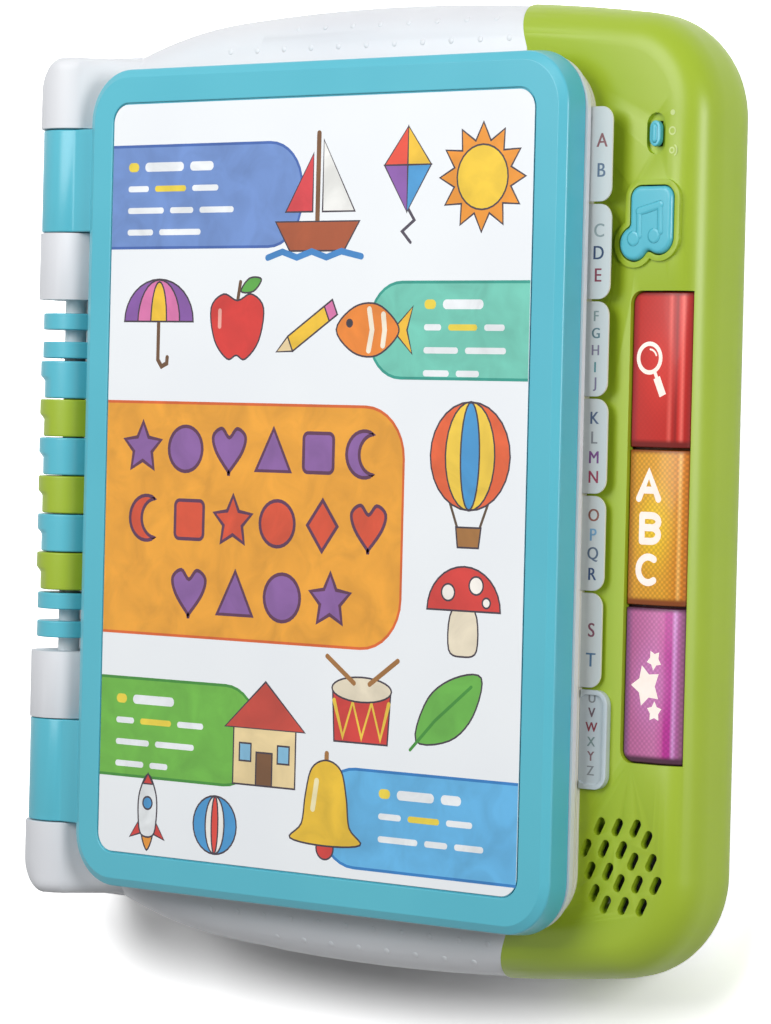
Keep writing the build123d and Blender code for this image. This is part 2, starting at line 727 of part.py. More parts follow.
plunger_z = keypad_z + dome_height + button_travel + plunger_gap
light_face_z = face_z - button_sink
light_skirt_z = light_face_z - button_skirt
round_x = right_x - front_round_r
round_z = face_z - front_round_r


def light_profile(inset):
    """Half section of a light button, flat and then folded twice over the panel's rounded edge."""
    radius = front_round_r - button_sink - inset
    left = light_left_x + button_clear + inset
    right = light_right_x - button_clear - inset
    with BuildSketch(Plane.XZ, mode=Mode.PRIVATE) as section:
        with BuildLine():
            Polyline(
                (left, light_skirt_z),
                (left, light_face_z - inset),
                (round_x, light_face_z - inset),
                (round_x + radius / 2, round_z + radius * 0.75**0.5),
                (right, round_z + (radius**2 - (right - round_x) ** 2) ** 0.5),
                (right, light_skirt_z),
                close=True,
            )
        make_face()
    return section.sketch


for name, top in zip(("search_button", "letters_button", "stars_button"), button_tops):
    low, high = top - button_length + button_clear, top - button_clear
    with BuildPart() as light_button:
        with BuildSketch(Plane.XZ.offset(-high)):
            add(light_profile(0))
        extrude(amount=high - low)
        if top == button_tops[0] or top == button_tops[-1]:
            corner = light_button.edges().filter_by(Axis.Z).group_by(Axis.X)[0]
            corner = corner.sort_by(Axis.Y)[-1 if top == button_tops[0] else 0]
            fillet(corner, light_corner_r - button_clear)
        with BuildSketch(Plane.XZ.offset(button_wall - high)):
            add(light_profile(button_wall))
        extrude(amount=high - low - 2 * button_wall, mode=Mode.SUBTRACT)
        # The lip that stops against the inside of the panel, and the plunger over the rubber dome.
        slab(light_left_x + button_clear - button_flange, light_left_x + button_clear + button_wall,
             low + light_corner_r, high - light_corner_r, light_skirt_z, light_skirt_z + flange_thick)
        post(plunger_r, button_mid_x - plunger_r, (low + high) / 2, plunger_z, light_face_z - button_wall)
    save(light_button, name)

note_lip_z = ceiling_z - 2 * button_clear
with BuildPart() as note_button:
    with BuildSketch(Plane.XY.offset(note_lip_z)):
        add(note_outline.sketch)
    extrude(amount=face_z + note_proud - note_lip_z)
    fillet(note_button.faces().sort_by(Axis.Z)[-1].edges(), note_edge_r)
    with BuildSketch(Plane.XY.offset(note_lip_z)):
        add(note_outline.sketch)
        offset(amount=2 * button_clear, mode=Mode.REPLACE)
    extrude(amount=-flange_thick)
    post(plunger_r, note_x, note_y, plunger_z, note_lip_z)
    # A raised note: two heads, two stems and the beam.
    heads = [(note_x + x, note_y + y) for x, y in sign_heads]
    (left, left_top), (right, right_top) = [(x + sign_stem_right, y + sign_stem_length) for x, y in heads]
    half_stem, half_beam = sign_stem_width / 2, sign_beam / 2
    with BuildSketch(Plane.XY.offset(face_z + note_proud - sign_root)):
        with Locations(heads):
            Circle(sign_head_r)
        with Locations((left, left_top - sign_stem_length / 2), (right, right_top - sign_stem_length / 2)):
            Rectangle(sign_stem_width, sign_stem_length)
        with BuildLine():
            Polyline((left - half_stem, left_top - half_beam), (left - half_stem, left_top + half_beam),
                     (right + half_stem, right_top + half_beam), (right + half_stem, right_top - half_beam),
                     close=True)
        make_face()
    extrude(amount=note_relief + sign_root)
save(note_button, "note_button")

with BuildPart() as power_slider:
    knob_floor_z = face_z - switch_sink + button_clear / 2
    with BuildSketch(Plane.XY.offset(knob_floor_z)):
        with Locations((switch_x, switch_y)):
            SlotOverall(switch_knob_length, switch_knob_width, rotation=90)
    extrude(amount=face_z - knob_floor_z + switch_ridge)
    slab(switch_x - switch_stem / 2, switch_x + switch_stem / 2, switch_y - switch_stem / 2,
         switch_y + switch_stem / 2, key_ceiling + switch_stem, knob_floor_z)
save(power_slider, "power_slider")

# ---- Electronics ----

with BuildPart() as sensor_film:
    slab(body_left_x + 2 * shell_wall, seam_x - shell_wall, post_r - screw_y + 2 * button_clear,
         screw_y - post_r - 2 * button_clear, ceiling_z - sensor_film_thick, ceiling_z)
    for x, y in board_screw_places:
        post(board_post_r + button_clear, x, y, ceiling_z - sensor_film_thick, ceiling_z, Mode.SUBTRACT)
save(sensor_film, "sensor_film")

with BuildPart() as main_board:
    slab(main_board_x - main_board_width / 2, main_board_x + main_board_width / 2,
         -main_board_height / 2, main_board_height / 2, board_z, board_z + board_thick)
    for x, y in board_screw_places:
        post(screw_r + button_clear, x, y, board_z, board_z + board_thick, Mode.SUBTRACT)
save(main_board, "main_board")

with BuildPart() as board_components:
    slab(main_board_x - chip_size / 2, main_board_x + chip_size / 2, -chip_size / 2, chip_size / 2,
         board_z - chip_thick, board_z)
    post(chip_size / 2, main_board_x + 2 * chip_size, 0, board_z - blob_thick, board_z)
    for y in (-can_pitch, 0, can_pitch):
        post(can_r, main_board_x - can_left, y, board_z - can_height, board_z)
    socket_top = main_board_height / 2 - plug_socket_inset
    slab(main_board_x + chip_size, main_board_x + 2 * chip_size, socket_top - plug_socket_depth, socket_top,
         board_z - plug_socket_height, board_z)
save(board_components, "board_components")

with BuildPart() as board_screws:
    for x, y in board_screw_places:
        post(screw_r, x, y, board_z, board_z + small_screw_length - screw_tip_gap)
        post(screw_head_r, x, y, board_z - screw_head, board_z)
save(board_screws, "board_screws")

with BuildPart() as key_board:
    slab(key_board_left, key_board_right, key_board_bottom, key_board_top, key_board_z, key_ceiling)
save(key_board, "key_board")

led_places = [
    (button_mid_x + led_r * 2, top - button_length / 2 + side * button_length / 4)
    for top in button_tops
    for side in (-1, 1)
]
dome_places = [(button_mid_x - plunger_r, top - button_length / 2) for top in button_tops]
dome_places.append((note_x, note_y))

with BuildPart() as keypad_mat:
    slab(key_board_left + keypad_inset, key_board_right - keypad_inset, key_board_bottom + keypad_inset,
         note_y + dome_r + 2 * keypad_inset, key_ceiling, keypad_z)
    with Locations([(x, y, keypad_z) for x, y in dome_places]):
        Cone(dome_r, plunger_r, dome_height, align=(Align.CENTER, Align.CENTER, Align.MIN))
    for x, y in led_places:
        post(led_r + button_clear, x, y, key_ceiling, keypad_z, Mode.SUBTRACT)
save(keypad_mat, "keypad_mat")

with BuildPart() as button_leds:
    for x, y in led_places:
        post(led_r, x, y, key_ceiling, key_ceiling + led_height)
save(button_leds, "button_leds")

with BuildPart() as slide_switch:
    slab(switch_x - slide_switch_width / 2, switch_x + slide_switch_width / 2,
         switch_y - slide_switch_length / 2, switch_y + slide_switch_length / 2,
         key_ceiling, key_ceiling + switch_stem - touch_gap)
save(slide_switch, "slide_switch")

with BuildPart() as spine_board:
    top = ledge_z - 2 * shell_wall
    half_length = (leaf_count + 1) / 2 * binder_pitch
    slab(axis_x - spine_board_width / 2, axis_x + spine_board_width / 2, -half_length, half_length,
         top - board_thick, top)
save(spine_board, "spine_board")

with BuildPart() as page_sensors:
    for y in binder_places:
        slab(axis_x - sensor_width / 2, axis_x + sensor_width / 2, y - sensor_width / 2, y + sensor_width / 2,
             ledge_z - 2 * shell_wall, ledge_z - button_clear)
save(page_sensors, "page_sensors")

# ---- Speaker ----

speaker_z = ceiling_z - speaker_seat_depth
cone_r = speaker_r - speaker_ring_wall - button_clear
basket_z = speaker_z - speaker_depth

with BuildPart() as speaker_frame:
    with BuildSketch(Plane.XZ.offset(-speaker_y)):
        with BuildLine():
            Polyline(
                (speaker_x + cone_r, speaker_z),
                (speaker_x + speaker_r, speaker_z),
                (speaker_x + speaker_r, speaker_z - speaker_flange),
                (speaker_x + cone_r, speaker_z - speaker_flange),
                (speaker_x + magnet_r, basket_z),
                (speaker_x, basket_z),
                (speaker_x, basket_z + speaker_flange),
                (speaker_x + magnet_r - speaker_flange, basket_z + speaker_flange),
                (speaker_x + cone_r - speaker_flange, speaker_z - speaker_flange),
                close=True,
            )
        make_face()
    revolve(axis=Axis((speaker_x, speaker_y, 0), (0, 0, 1)))
save(speaker_frame, "speaker_frame")

with BuildPart() as speaker_cone:
    cone_top, cone_low = speaker_z - cone_top_gap, basket_z + 2 * speaker_flange
    inner, rim = speaker_x + magnet_r / 2, speaker_x + cone_r - cone_rim_gap
    with BuildSketch(Plane.XZ.offset(-speaker_y)):
        with BuildLine():
            Polyline(
                (speaker_x, cone_low),
                (inner, cone_low),
                (rim - cone_glue_width, cone_top - cone_rim_thick),
                (rim, cone_top - cone_rim_thick),
                (rim, cone_top),
                (rim - cone_rim_width, cone_top),
                (inner, cone_low + cone_thick),
                (speaker_x, cone_low + dust_cap_rise),
                close=True,
            )
        make_face()
    revolve(axis=Axis((speaker_x, speaker_y, 0), (0, 0, 1)))
save(speaker_cone, "speaker_cone")

with BuildPart() as speaker_magnet:
    post(magnet_r, speaker_x, speaker_y, basket_z - magnet_thick, basket_z)
    fillet(speaker_magnet.edges().filter_by(GeomType.CIRCLE).sort_by(Axis.Z)[0], magnet_edge_r)
save(speaker_magnet, "speaker_magnet")

# ---- Power ----

cell_places = [bay_x + (number - (cell_count - 1) / 2) * cell_pitch for number in range(cell_count)]
with BuildPart() as cells:
    for x in cell_places:
        with Locations((x, 0, cell_axis_z)):
            Cylinder(cell_r, cell_length, rotation=(90, 0, 0))
        with Locations((x, cell_length / 2 + cell_nub / 2, cell_axis_z)):
            Cylinder(cell_nub_r, cell_nub, rotation=(90, 0, 0))
save(cells, "battery_cells")

with BuildPart() as contacts:
    for x in cell_places:
        for end in (-1, 1):
            y = end * (bay_length / 2 - contact_thick / 2)
            slab(x - cell_r + contact_inset, x + cell_r - contact_inset, y - contact_thick / 2,
                 y + contact_thick / 2, floor_z + contact_inset, bay_roof_z)
        # The pad behind the nub and the spring behind the flat end.
        reach = bay_length / 2 - contact_thick - cell_length / 2
        with Locations((x, bay_length / 2 - contact_thick - (reach - cell_nub) / 2, cell_axis_z)):
            Cylinder(cell_nub_r, reach - cell_nub - contact_gap, rotation=(90, 0, 0))
        with Locations((x, reach / 2 - bay_length / 2 + contact_thick, cell_axis_z)):
            Cone(spring_r, spring_tip_r, reach - contact_gap, rotation=(-90, 0, 0))
save(contacts, "battery_contacts")

with BuildPart() as battery_door:
    slab(bay_x - door_width / 2, bay_x + door_width / 2, -door_length / 2, door_length / 2,
         back_z, back_z + door_thick)
    post(door_tab_r, bay_x, door_screw_y, back_z, back_z + door_tab_depth)
    post(screw_head_r + door_fit, bay_x, door_screw_y, back_z, back_z + screw_head + door_screw_sink,
         Mode.SUBTRACT)
    post(screw_r + door_fit, bay_x, door_screw_y, back_z, back_z + door_tab_depth, Mode.SUBTRACT)
    # Ribs that press the cells into the bay.
    for x in cell_places:
        slab(x - rib_thick / 2, x + rib_thick / 2, -cell_length / 4, cell_length / 4, back_z + door_thick,
             floor_z + contact_thick - touch_gap)
save(battery_door, "battery_door")

with BuildPart() as door_screw:
    head_z = back_z + door_screw_sink + screw_head
    post(screw_head_r, bay_x, door_screw_y, head_z - screw_head, head_z)
    post(screw_r, bay_x, door_screw_y, head_z, back_z + door_tab_depth + small_screw_length - screw_tip_gap)
save(door_screw, "door_screw")

# ---- Fasteners and feet ----

with BuildPart() as casing_screws:
    for x, y in screw_places:
        head_z = back_z + screw_sink
        post(screw_head_r, x, y, head_z - screw_head, head_z)
        post(screw_r, x, y, head_z, head_z + screw_length - screw_tip_gap)
save(casing_screws, "casing_screws")

with BuildPart() as rubber_feet:
    for x, y in foot_places:
        post(foot_r, x, y, 0, foot_thick)
    fillet(rubber_feet.edges().group_by(Axis.Z)[0], foot_thick / 3)
save(rubber_feet, "rubber_feet")
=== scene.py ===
import json
import math

import bmesh
import bpy
from mathutils import Matrix, Vector

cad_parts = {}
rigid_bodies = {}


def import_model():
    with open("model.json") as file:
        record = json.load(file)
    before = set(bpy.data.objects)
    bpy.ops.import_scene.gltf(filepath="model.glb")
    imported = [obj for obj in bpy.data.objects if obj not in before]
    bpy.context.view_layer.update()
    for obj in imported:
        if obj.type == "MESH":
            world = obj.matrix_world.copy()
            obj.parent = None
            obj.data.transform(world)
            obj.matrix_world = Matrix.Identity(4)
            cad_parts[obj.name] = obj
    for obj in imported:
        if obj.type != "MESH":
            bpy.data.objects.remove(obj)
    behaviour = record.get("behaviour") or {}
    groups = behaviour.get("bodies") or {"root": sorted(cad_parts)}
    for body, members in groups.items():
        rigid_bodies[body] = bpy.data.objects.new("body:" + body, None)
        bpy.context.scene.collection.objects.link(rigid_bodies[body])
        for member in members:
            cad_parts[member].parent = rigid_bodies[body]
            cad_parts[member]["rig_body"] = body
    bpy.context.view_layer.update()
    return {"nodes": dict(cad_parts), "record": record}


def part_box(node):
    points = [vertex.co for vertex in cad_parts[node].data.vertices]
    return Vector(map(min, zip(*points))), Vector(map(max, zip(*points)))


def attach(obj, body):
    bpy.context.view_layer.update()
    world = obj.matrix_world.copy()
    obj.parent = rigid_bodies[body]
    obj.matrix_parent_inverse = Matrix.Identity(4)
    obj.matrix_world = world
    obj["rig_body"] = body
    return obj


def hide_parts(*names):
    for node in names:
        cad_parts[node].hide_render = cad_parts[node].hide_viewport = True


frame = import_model()
nodes = frame["nodes"]
bodyOf = {name: node["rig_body"] for name, node in nodes.items()}
slotOf = {piece["node"]: piece["material_slot"] for piece in frame["record"]["subparts"]}
mm = 0.001


def linear(code):
    channels = [int(code[i:i + 2], 16) / 255 for i in (1, 3, 5)]
    return [c / 12.92 if c <= 0.04045 else ((c + 0.055) / 1.055) ** 2.4 for c in channels] + [1.0]


def addNode(tree, kind, inputs=None, **settings):
    # a node given as a value stands for its first output
    node = tree.nodes.new(kind)
    for name, value in settings.items():
        setattr(node, name, value)
    for socket, value in (inputs or {}).items():
        if isinstance(value, bpy.types.Node):
            value = value.outputs[0]
        if isinstance(value, bpy.types.NodeSocket):
            tree.links.new(value, node.inputs[socket])
        else:
            node.inputs[socket].default_value = value
    return node


def newMaterial(name):
    # the material, its tree, its output and the place on the object that patterns are laid out by
    material = bpy.data.materials.new(name)
    material.use_nodes = True
    tree = material.node_tree
    tree.nodes.clear()
    place = addNode(tree, "ShaderNodeTexCoord").outputs["Object"]
    return material, tree, tree.nodes.new("ShaderNodeOutputMaterial"), place


def addObject(name, mesh, *materials):
    for material in materials:
        mesh.materials.append(material)
    thing = bpy.data.objects.new(name, mesh)
    bpy.context.scene.collection.objects.link(thing)
    return thing


def ride(thing, body, slotName, *replaced):
    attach(thing, body)
    if replaced:
        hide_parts(*replaced)


def meshFrom(name, shape):
    mesh = bpy.data.meshes.new(name)
    shape.to_mesh(mesh)
    shape.free()
    return mesh


def applied(thing):
    # the evaluated shape becomes the object's own plain mesh
    bpy.context.view_layer.update()
    shape = bpy.data.meshes.new_from_object(thing.evaluated_get(bpy.context.evaluated_depsgraph_get()))
    thing.modifiers.clear()
    shape.name = thing.name
    thing.data = shape
    return thing


def span(name):
    # a CAD node's box in millimetres
    low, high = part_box(name)
    return low / mm, high / mm


# Camera, lamps and floor

view = {
    "place": (0.7528, 0.0195, 0.9143),
    "turn": (0.414, 40.031, 1.787),     # degrees
    "lens": 146.52,
    "shiftY": -0.041,
}
light = {
    "skyHigh": 0.31,            # strength of the sky where it is brightest, above and behind
    "skyLow": 0.04,
    "skyLean": (-0.2, 0.5, 0.84),
    "skyFrom": -0.3,            # how far round from that way the sky is darkest
    "keyPlace": (-0.12, 0.36, 0.7),
    "keySize": 0.6,
    "keyPower": 4.2,
    "sidePlace": (1.0, 0.15, 0.5),
    "sideSize": 0.34,
    "sidePower": 4.7,
}
floor = {
    "reach": 6.0,
    "lit": 0.87,                # its white as the light finds it
    "mirrored": 1.3,            # as it shows in gloss and through clear plastic
    "seen": 2.5,                # and as it is seen
    "paintedShadowSeen": 0.75,           # which is made darker under the object's low edge, a painted shadow
    "paintedShadowPlace": (-22, -138, 0),
    "paintedShadowReach": (178, 31, 1000),
    "farFrom": (14, 40),        # in those reaches, where the floor lies beyond the lamps
    "farSeen": 4.0,
}


def makeCamera():
    data = bpy.data.cameras.new("camera")
    data.lens = view["lens"]
    data.sensor_width = 36
    data.shift_y = view["shiftY"]
    camera = bpy.data.objects.new("camera", data)
    camera.location = view["place"]
    camera.rotation_euler = [math.radians(a) for a in view["turn"]]
    bpy.context.scene.collection.objects.link(camera)
    bpy.context.scene.camera = camera


def areaLamp(name, place, size, power):
    data = bpy.data.lights.new(name, "AREA")
    data.shape = "DISK"
    data.size = size
    data.energy = power
    lamp = bpy.data.objects.new(name, data)
    lamp.location = place
    lamp.rotation_euler = (-Vector(place)).to_track_quat("-Z", "Y").to_euler()
    bpy.context.scene.collection.objects.link(lamp)


def seenRays(tree):
    # what the camera sees straight, and what it sees by reflection or through something clear
    rays = addNode(tree, "ShaderNodeLightPath")
    mirrored = addNode(tree, "ShaderNodeMath", {0: rays.outputs["Is Glossy Ray"],
                                                1: rays.outputs["Is Transmission Ray"]},
                       operation="MAXIMUM")
    return rays.outputs["Is Camera Ray"], mirrored


def makeSky():
    world = bpy.data.worlds.new("studio")
    world.use_nodes = True
    bpy.context.scene.world = world
    sky = world.node_tree
    way = addNode(sky, "ShaderNodeTexCoord").outputs["Generated"]
    lean = addNode(sky, "ShaderNodeVectorMath", {0: way, 1: light["skyLean"]}, operation="DOT_PRODUCT")
    dim = addNode(sky, "ShaderNodeMapRange", {
        "Value": lean.outputs["Value"], "From Min": light["skyFrom"], "From Max": 1.0,
        "To Min": light["skyLow"], "To Max": light["skyHigh"]})
    straight, mirrored = seenRays(sky)
    reflected = addNode(sky, "ShaderNodeMix", {0: mirrored, 2: dim, 3: 1.0})
    strength = addNode(sky, "ShaderNodeMix", {0: straight, 2: reflected, 3: 1.0})
    sky.nodes["Background"].inputs["Color"].default_value = (1, 1, 1, 1)
    sky.links.new(strength.outputs[0], sky.nodes["Background"].inputs["Strength"])


def makeFloor():
    # Matt white paper sweep: even, brighter to the camera than the light makes it, and it keeps the shadow;
    # under the object's low edge its tone is darker, a painted shadow
    material, tree, output, place = newMaterial("paleFloor")
    offset = addNode(tree, "ShaderNodeVectorMath", {0: place, 1: Vector(floor["paintedShadowPlace"]) * mm},
                     operation="SUBTRACT")
    shrunk = addNode(tree, "ShaderNodeVectorMath", {0: offset, 1: Vector(floor["paintedShadowReach"]) * mm},
                     operation="DIVIDE")
    away = addNode(tree, "ShaderNodeVectorMath", {0: shrunk}, operation="LENGTH").outputs["Value"]
    # painted shadow: the tone the floor is seen with is darkest near the object's low edge and white further
    # off
    pale = addNode(tree, "ShaderNodeMapRange", {
        "Value": away, "To Min": floor["paintedShadowSeen"], "To Max": floor["seen"]},
        interpolation_type="SMOOTHSTEP")
    far = addNode(tree, "ShaderNodeMapRange", {
        "Value": away, "From Min": floor["farFrom"][0], "From Max": floor["farFrom"][1], "To Min": 1.0,
        "To Max": floor["farSeen"]})
    seen = addNode(tree, "ShaderNodeMath", {0: pale, 1: far}, operation="MULTIPLY")
    straight, mirrored = seenRays(tree)
    reflected = addNode(tree, "ShaderNodeMix", {0: mirrored, 2: floor["lit"], 3: floor["mirrored"]})
    tone = addNode(tree, "ShaderNodeMix", {0: straight, 2: reflected, 3: seen})
    paint = addNode(tree, "ShaderNodeBsdfDiffuse", {"Color": tone})
    tree.links.new(paint.outputs[0], output.inputs["Surface"])
    reach = floor["reach"]
    corners = [(-reach, -reach, 0), (reach, -reach, 0), (reach, reach, 0), (-reach, reach, 0)]
    mesh = bpy.data.meshes.new("floor")
    mesh.from_pydata(corners, [], [(0, 1, 2, 3)])
    addObject("floor", mesh, material)


makeCamera()
makeSky()
areaLamp("keyLamp", light["keyPlace"], light["keySize"], light["keyPower"])
areaLamp("sideLamp", light["sidePlace"], light["sideSize"], light["sidePower"])
makeFloor()
bpy.context.scene.view_settings.view_transform = "Standard"
print("studio ready")


# Materials


def mixColour(tree, factor, first, second, blend="MIX"):
    # the colour sockets of the Mix node come after its number sockets
    return addNode(tree, "ShaderNodeMix", {0: factor, 6: first, 7: second}, data_type="RGBA",
                   blend_type=blend).outputs[2]


def shaded(tree, tone, share):
    # a colour made lighter or darker by a number
    grey = addNode(tree, "ShaderNodeCombineColor", {0: share, 1: share, 2: share})
    return mixColour(tree, 1.0, tone, grey.outputs[0], "MULTIPLY")


def colourBands(tree, along, bands, interpolation="LINEAR"):
    ramp = addNode(tree, "ShaderNodeValToRGB", {0: along})
    ramp.color_ramp.interpolation = interpolation
    stops = ramp.color_ramp.elements
    while len(stops) < len(bands):
        stops.new(0.5)
    for stop, (position, colour) in zip(stops, bands):
        stop.position = position
        stop.color = linear(colour)
    return ramp.outputs[0]


def mouldedSkin(tree, place, grain, depth):
    # the fine orange-peel that a textured mould leaves, grain and depth in mm
    skin = addNode(tree, "ShaderNodeTexNoise", {"Vector": place, "Scale": 1 / (grain * mm), "Detail": 1.0})
    return addNode(tree, "ShaderNodeBump", {"Height": skin, "Strength": 0.5, "Distance": depth * mm})


def mouldedPlastic(name, colour, deep, roughness, grain=0.5, depth=0.01):
    # Injection-moulded ABS: even colour with a slow drift of tone, soft broad highlights, a faint skin
    drift = {"size": 45, "edges": (0.35, 0.65), "gloss": 0.04}      # mm, share of the noise, roughness
    material, tree, output, place = newMaterial(name)
    cloud = addNode(tree, "ShaderNodeTexNoise", {"Vector": place, "Scale": 1 / (drift["size"] * mm),
                                                 "Detail": 2.0})
    spread = addNode(tree, "ShaderNodeMapRange", {"Value": cloud, "From Min": drift["edges"][0],
                                                  "From Max": drift["edges"][1]})
    tone = mixColour(tree, spread.outputs[0], linear(deep), linear(colour))
    gloss = addNode(tree, "ShaderNodeMapRange", {"Value": cloud, "To Min": roughness - drift["gloss"],
                                                 "To Max": roughness + drift["gloss"]})
    shader = addNode(tree, "ShaderNodeBsdfPrincipled", {
        "Base Color": tone, "Roughness": gloss, "IOR": 1.53,
        "Normal": mouldedSkin(tree, place, grain, depth)})
    tree.links.new(shader.outputs[0], output.inputs["Surface"])
    return material


def printedInk():
    # Offset print under clear film: each shape's own colour, washed like watercolour, with a smooth gloss
    wash = {"size": 11, "edges": (0.3, 0.7), "shade": (0.84, 1.08)}     # mm, share of the noise, brightness
    material, tree, output, place = newMaterial("printedCardInk")
    inkColour = addNode(tree, "ShaderNodeAttribute", attribute_name="ink").outputs["Color"]
    cloud = addNode(tree, "ShaderNodeTexNoise", {"Vector": place, "Scale": 1 / (wash["size"] * mm),
                                                 "Detail": 3.0, "Distortion": 0.8})
    shade = addNode(tree, "ShaderNodeMapRange", {
        "Value": cloud, "From Min": wash["edges"][0], "From Max": wash["edges"][1],
        "To Min": wash["shade"][0], "To Max": wash["shade"][1]})
    shader = addNode(tree, "ShaderNodeBsdfPrincipled", {
        "Base Color": shaded(tree, inkColour, shade), "Roughness": 0.32, "IOR": 1.5})
    tree.links.new(shader.outputs[0], output.inputs["Surface"])
    return material


def pageBoard():
    # Coated greyboard: white printed faces, cream cut edges with layered fibres, pale grey printed tabs
    board = {"fibre": 2.5, "plies": 30.0, "tabFrom": span("last_tab")[0].x + 0.2}       # mm, stretch, mm
    material, tree, output, place = newMaterial("coatedPageBoard")
    facing = addNode(tree, "ShaderNodeTexCoord").outputs["Normal"]
    normal = addNode(tree, "ShaderNodeSeparateXYZ", {0: facing})
    upright = addNode(tree, "ShaderNodeMath", {0: normal.outputs["Z"]}, operation="ABSOLUTE")
    edge = addNode(tree, "ShaderNodeMath", {0: upright, 1: 0.5}, operation="LESS_THAN")
    plies = addNode(tree, "ShaderNodeMapping", {"Vector": place, "Scale": (1.0, 1.0, board["plies"])})
    fibre = addNode(tree, "ShaderNodeTexNoise", {"Vector": plies, "Scale": 1 / (board["fibre"] * mm),
                                                 "Detail": 3.0})
    cream = mixColour(tree, fibre.outputs[0], linear("#dcd5c0"), linear("#f5f1e4"))
    where = addNode(tree, "ShaderNodeSeparateXYZ", {0: place})
    onTab = addNode(tree, "ShaderNodeMath", {0: where.outputs["X"], 1: board["tabFrom"] * mm},
                    operation="GREATER_THAN")
    face = mixColour(tree, onTab.outputs[0], linear("#f5f6f3"), linear("#c8d0d1"))
    tone = mixColour(tree, edge.outputs[0], face, cream)
    shader = addNode(tree, "ShaderNodeBsdfPrincipled", {
        "Base Color": tone, "Roughness": 0.42, "IOR": 1.48,
        "Normal": mouldedSkin(tree, place, 0.7, 0.012)})
    tree.links.new(shader.outputs[0], output.inputs["Surface"])
    return material


clearLens = {
    "lean": (0.766, 0, -0.643),     # the way that runs on across the face and down the fold alike
    "bandReach": 17.5,              # mm, the bands' whole length that way
    "litSquash": (1.5, 0.75, 0),    # shapes the lamp's glow into an upright oval
    "litFrom": 12,                  # mm, where the glow starts, and where it is full
    "litFull": 1,
    "litMost": 0.85,
    "pitch": 1.5,                   # mm, the moulded lattice
    "wall": 2.4,                    # mm, the end walls seen through the face
}


def clearButton(name, node, bands, ends, glow, dots):
    # Tinted clear polystyrene over a lit diffuser. The bands run across the face and over the fold, the
    # ends are the thicker walls seen through it, and dots is the strength of a moulded diamond lattice.
    low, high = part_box(node)
    lean = clearLens["lean"]
    material, tree, output, place = newMaterial(name)
    across = addNode(tree, "ShaderNodeVectorMath", {0: place, 1: lean}, operation="DOT_PRODUCT")
    start = low.x * lean[0] + high.z * lean[2]
    along = addNode(tree, "ShaderNodeMapRange", {
        "Value": across.outputs["Value"], "From Min": start, "From Max": start + clearLens["bandReach"] * mm})
    # the bands hold painted highlight lines at the folds and painted shade on the faces that turn away past
    # them
    tone = colourBands(tree, along, bands)

    middle = Vector(((low.x + high.x) / 2, (low.y + high.y) / 2, high.z))
    centred = addNode(tree, "ShaderNodeVectorMath", {0: place, 1: -middle}, operation="ADD")
    scaled = addNode(tree, "ShaderNodeVectorMath", {0: centred, 1: clearLens["litSquash"]},
                     operation="MULTIPLY")
    radial = addNode(tree, "ShaderNodeVectorMath", {0: scaled}, operation="LENGTH")
    lit = addNode(tree, "ShaderNodeMapRange", {
        "Value": radial.outputs["Value"], "From Min": clearLens["litFrom"] * mm,
        "From Max": clearLens["litFull"] * mm, "To Max": clearLens["litMost"]},
        interpolation_type="SMOOTHSTEP")
    tone = mixColour(tree, lit.outputs[0], tone, linear(glow))

    where = addNode(tree, "ShaderNodeSeparateXYZ", {0: place})
    waves = []
    for axis in "XY":
        turns = addNode(tree, "ShaderNodeMath", {0: where.outputs[axis],
                                                 1: 2 * math.pi / (clearLens["pitch"] * mm)},
                        operation="MULTIPLY")
        waves.append(addNode(tree, "ShaderNodeMath", {0: turns}, operation="SINE"))
    lattice = addNode(tree, "ShaderNodeMath", {0: waves[0], 1: waves[1]}, operation="MULTIPLY")
    spots = addNode(tree, "ShaderNodeMapRange", {"Value": lattice, "From Min": -0.4, "From Max": 0.7,
                                                 "To Min": 1 - dots, "To Max": 1 + 0.7 * dots})
    tone = shaded(tree, tone, spots)

    wall = clearLens["wall"] * mm
    fades = [addNode(tree, "ShaderNodeMapRange", {"Value": where.outputs["Y"], "From Min": first,
                                                  "From Max": last}, interpolation_type="SMOOTHSTEP")
             for first, last in ((low.y + 0.4 * wall, low.y + wall), (high.y, high.y - 0.6 * wall))]
    inside = addNode(tree, "ShaderNodeMath", {0: fades[0], 1: fades[1]}, operation="MULTIPLY")
    tone = mixColour(tree, inside.outputs[0], linear(ends), tone)
    shader = addNode(tree, "ShaderNodeBsdfPrincipled", {
        "Base Color": tone, "Roughness": 0.35, "IOR": 1.58, "Specular IOR Level": 0.25,
        "Coat Weight": 0.12, "Coat Roughness": 0.1, "Emission Color": tone, "Emission Strength": 0.16})
    tree.links.new(shader.outputs[0], output.inputs["Surface"])
    return material


def litSign(name, colour, strength):
    # Opaque white pad print with the lamp behind it: warm, with a faint cloud where the diffuser is uneven
    material, tree, output, place = newMaterial(name)
    cloud = addNode(tree, "ShaderNodeTexNoise", {"Vector": place, "Scale": 1 / (3 * mm), "Detail": 1.0})
    tone = mixColour(tree, cloud.outputs[0], linear("#fffaf4"), linear(colour))
    shader = addNode(tree, "ShaderNodeBsdfPrincipled", {
        "Base Color": tone, "Roughness": 0.35, "Emission Color": linear(colour),
        "Emission Strength": strength})
    tree.links.new(shader.outputs[0], output.inputs["Surface"])
    return material


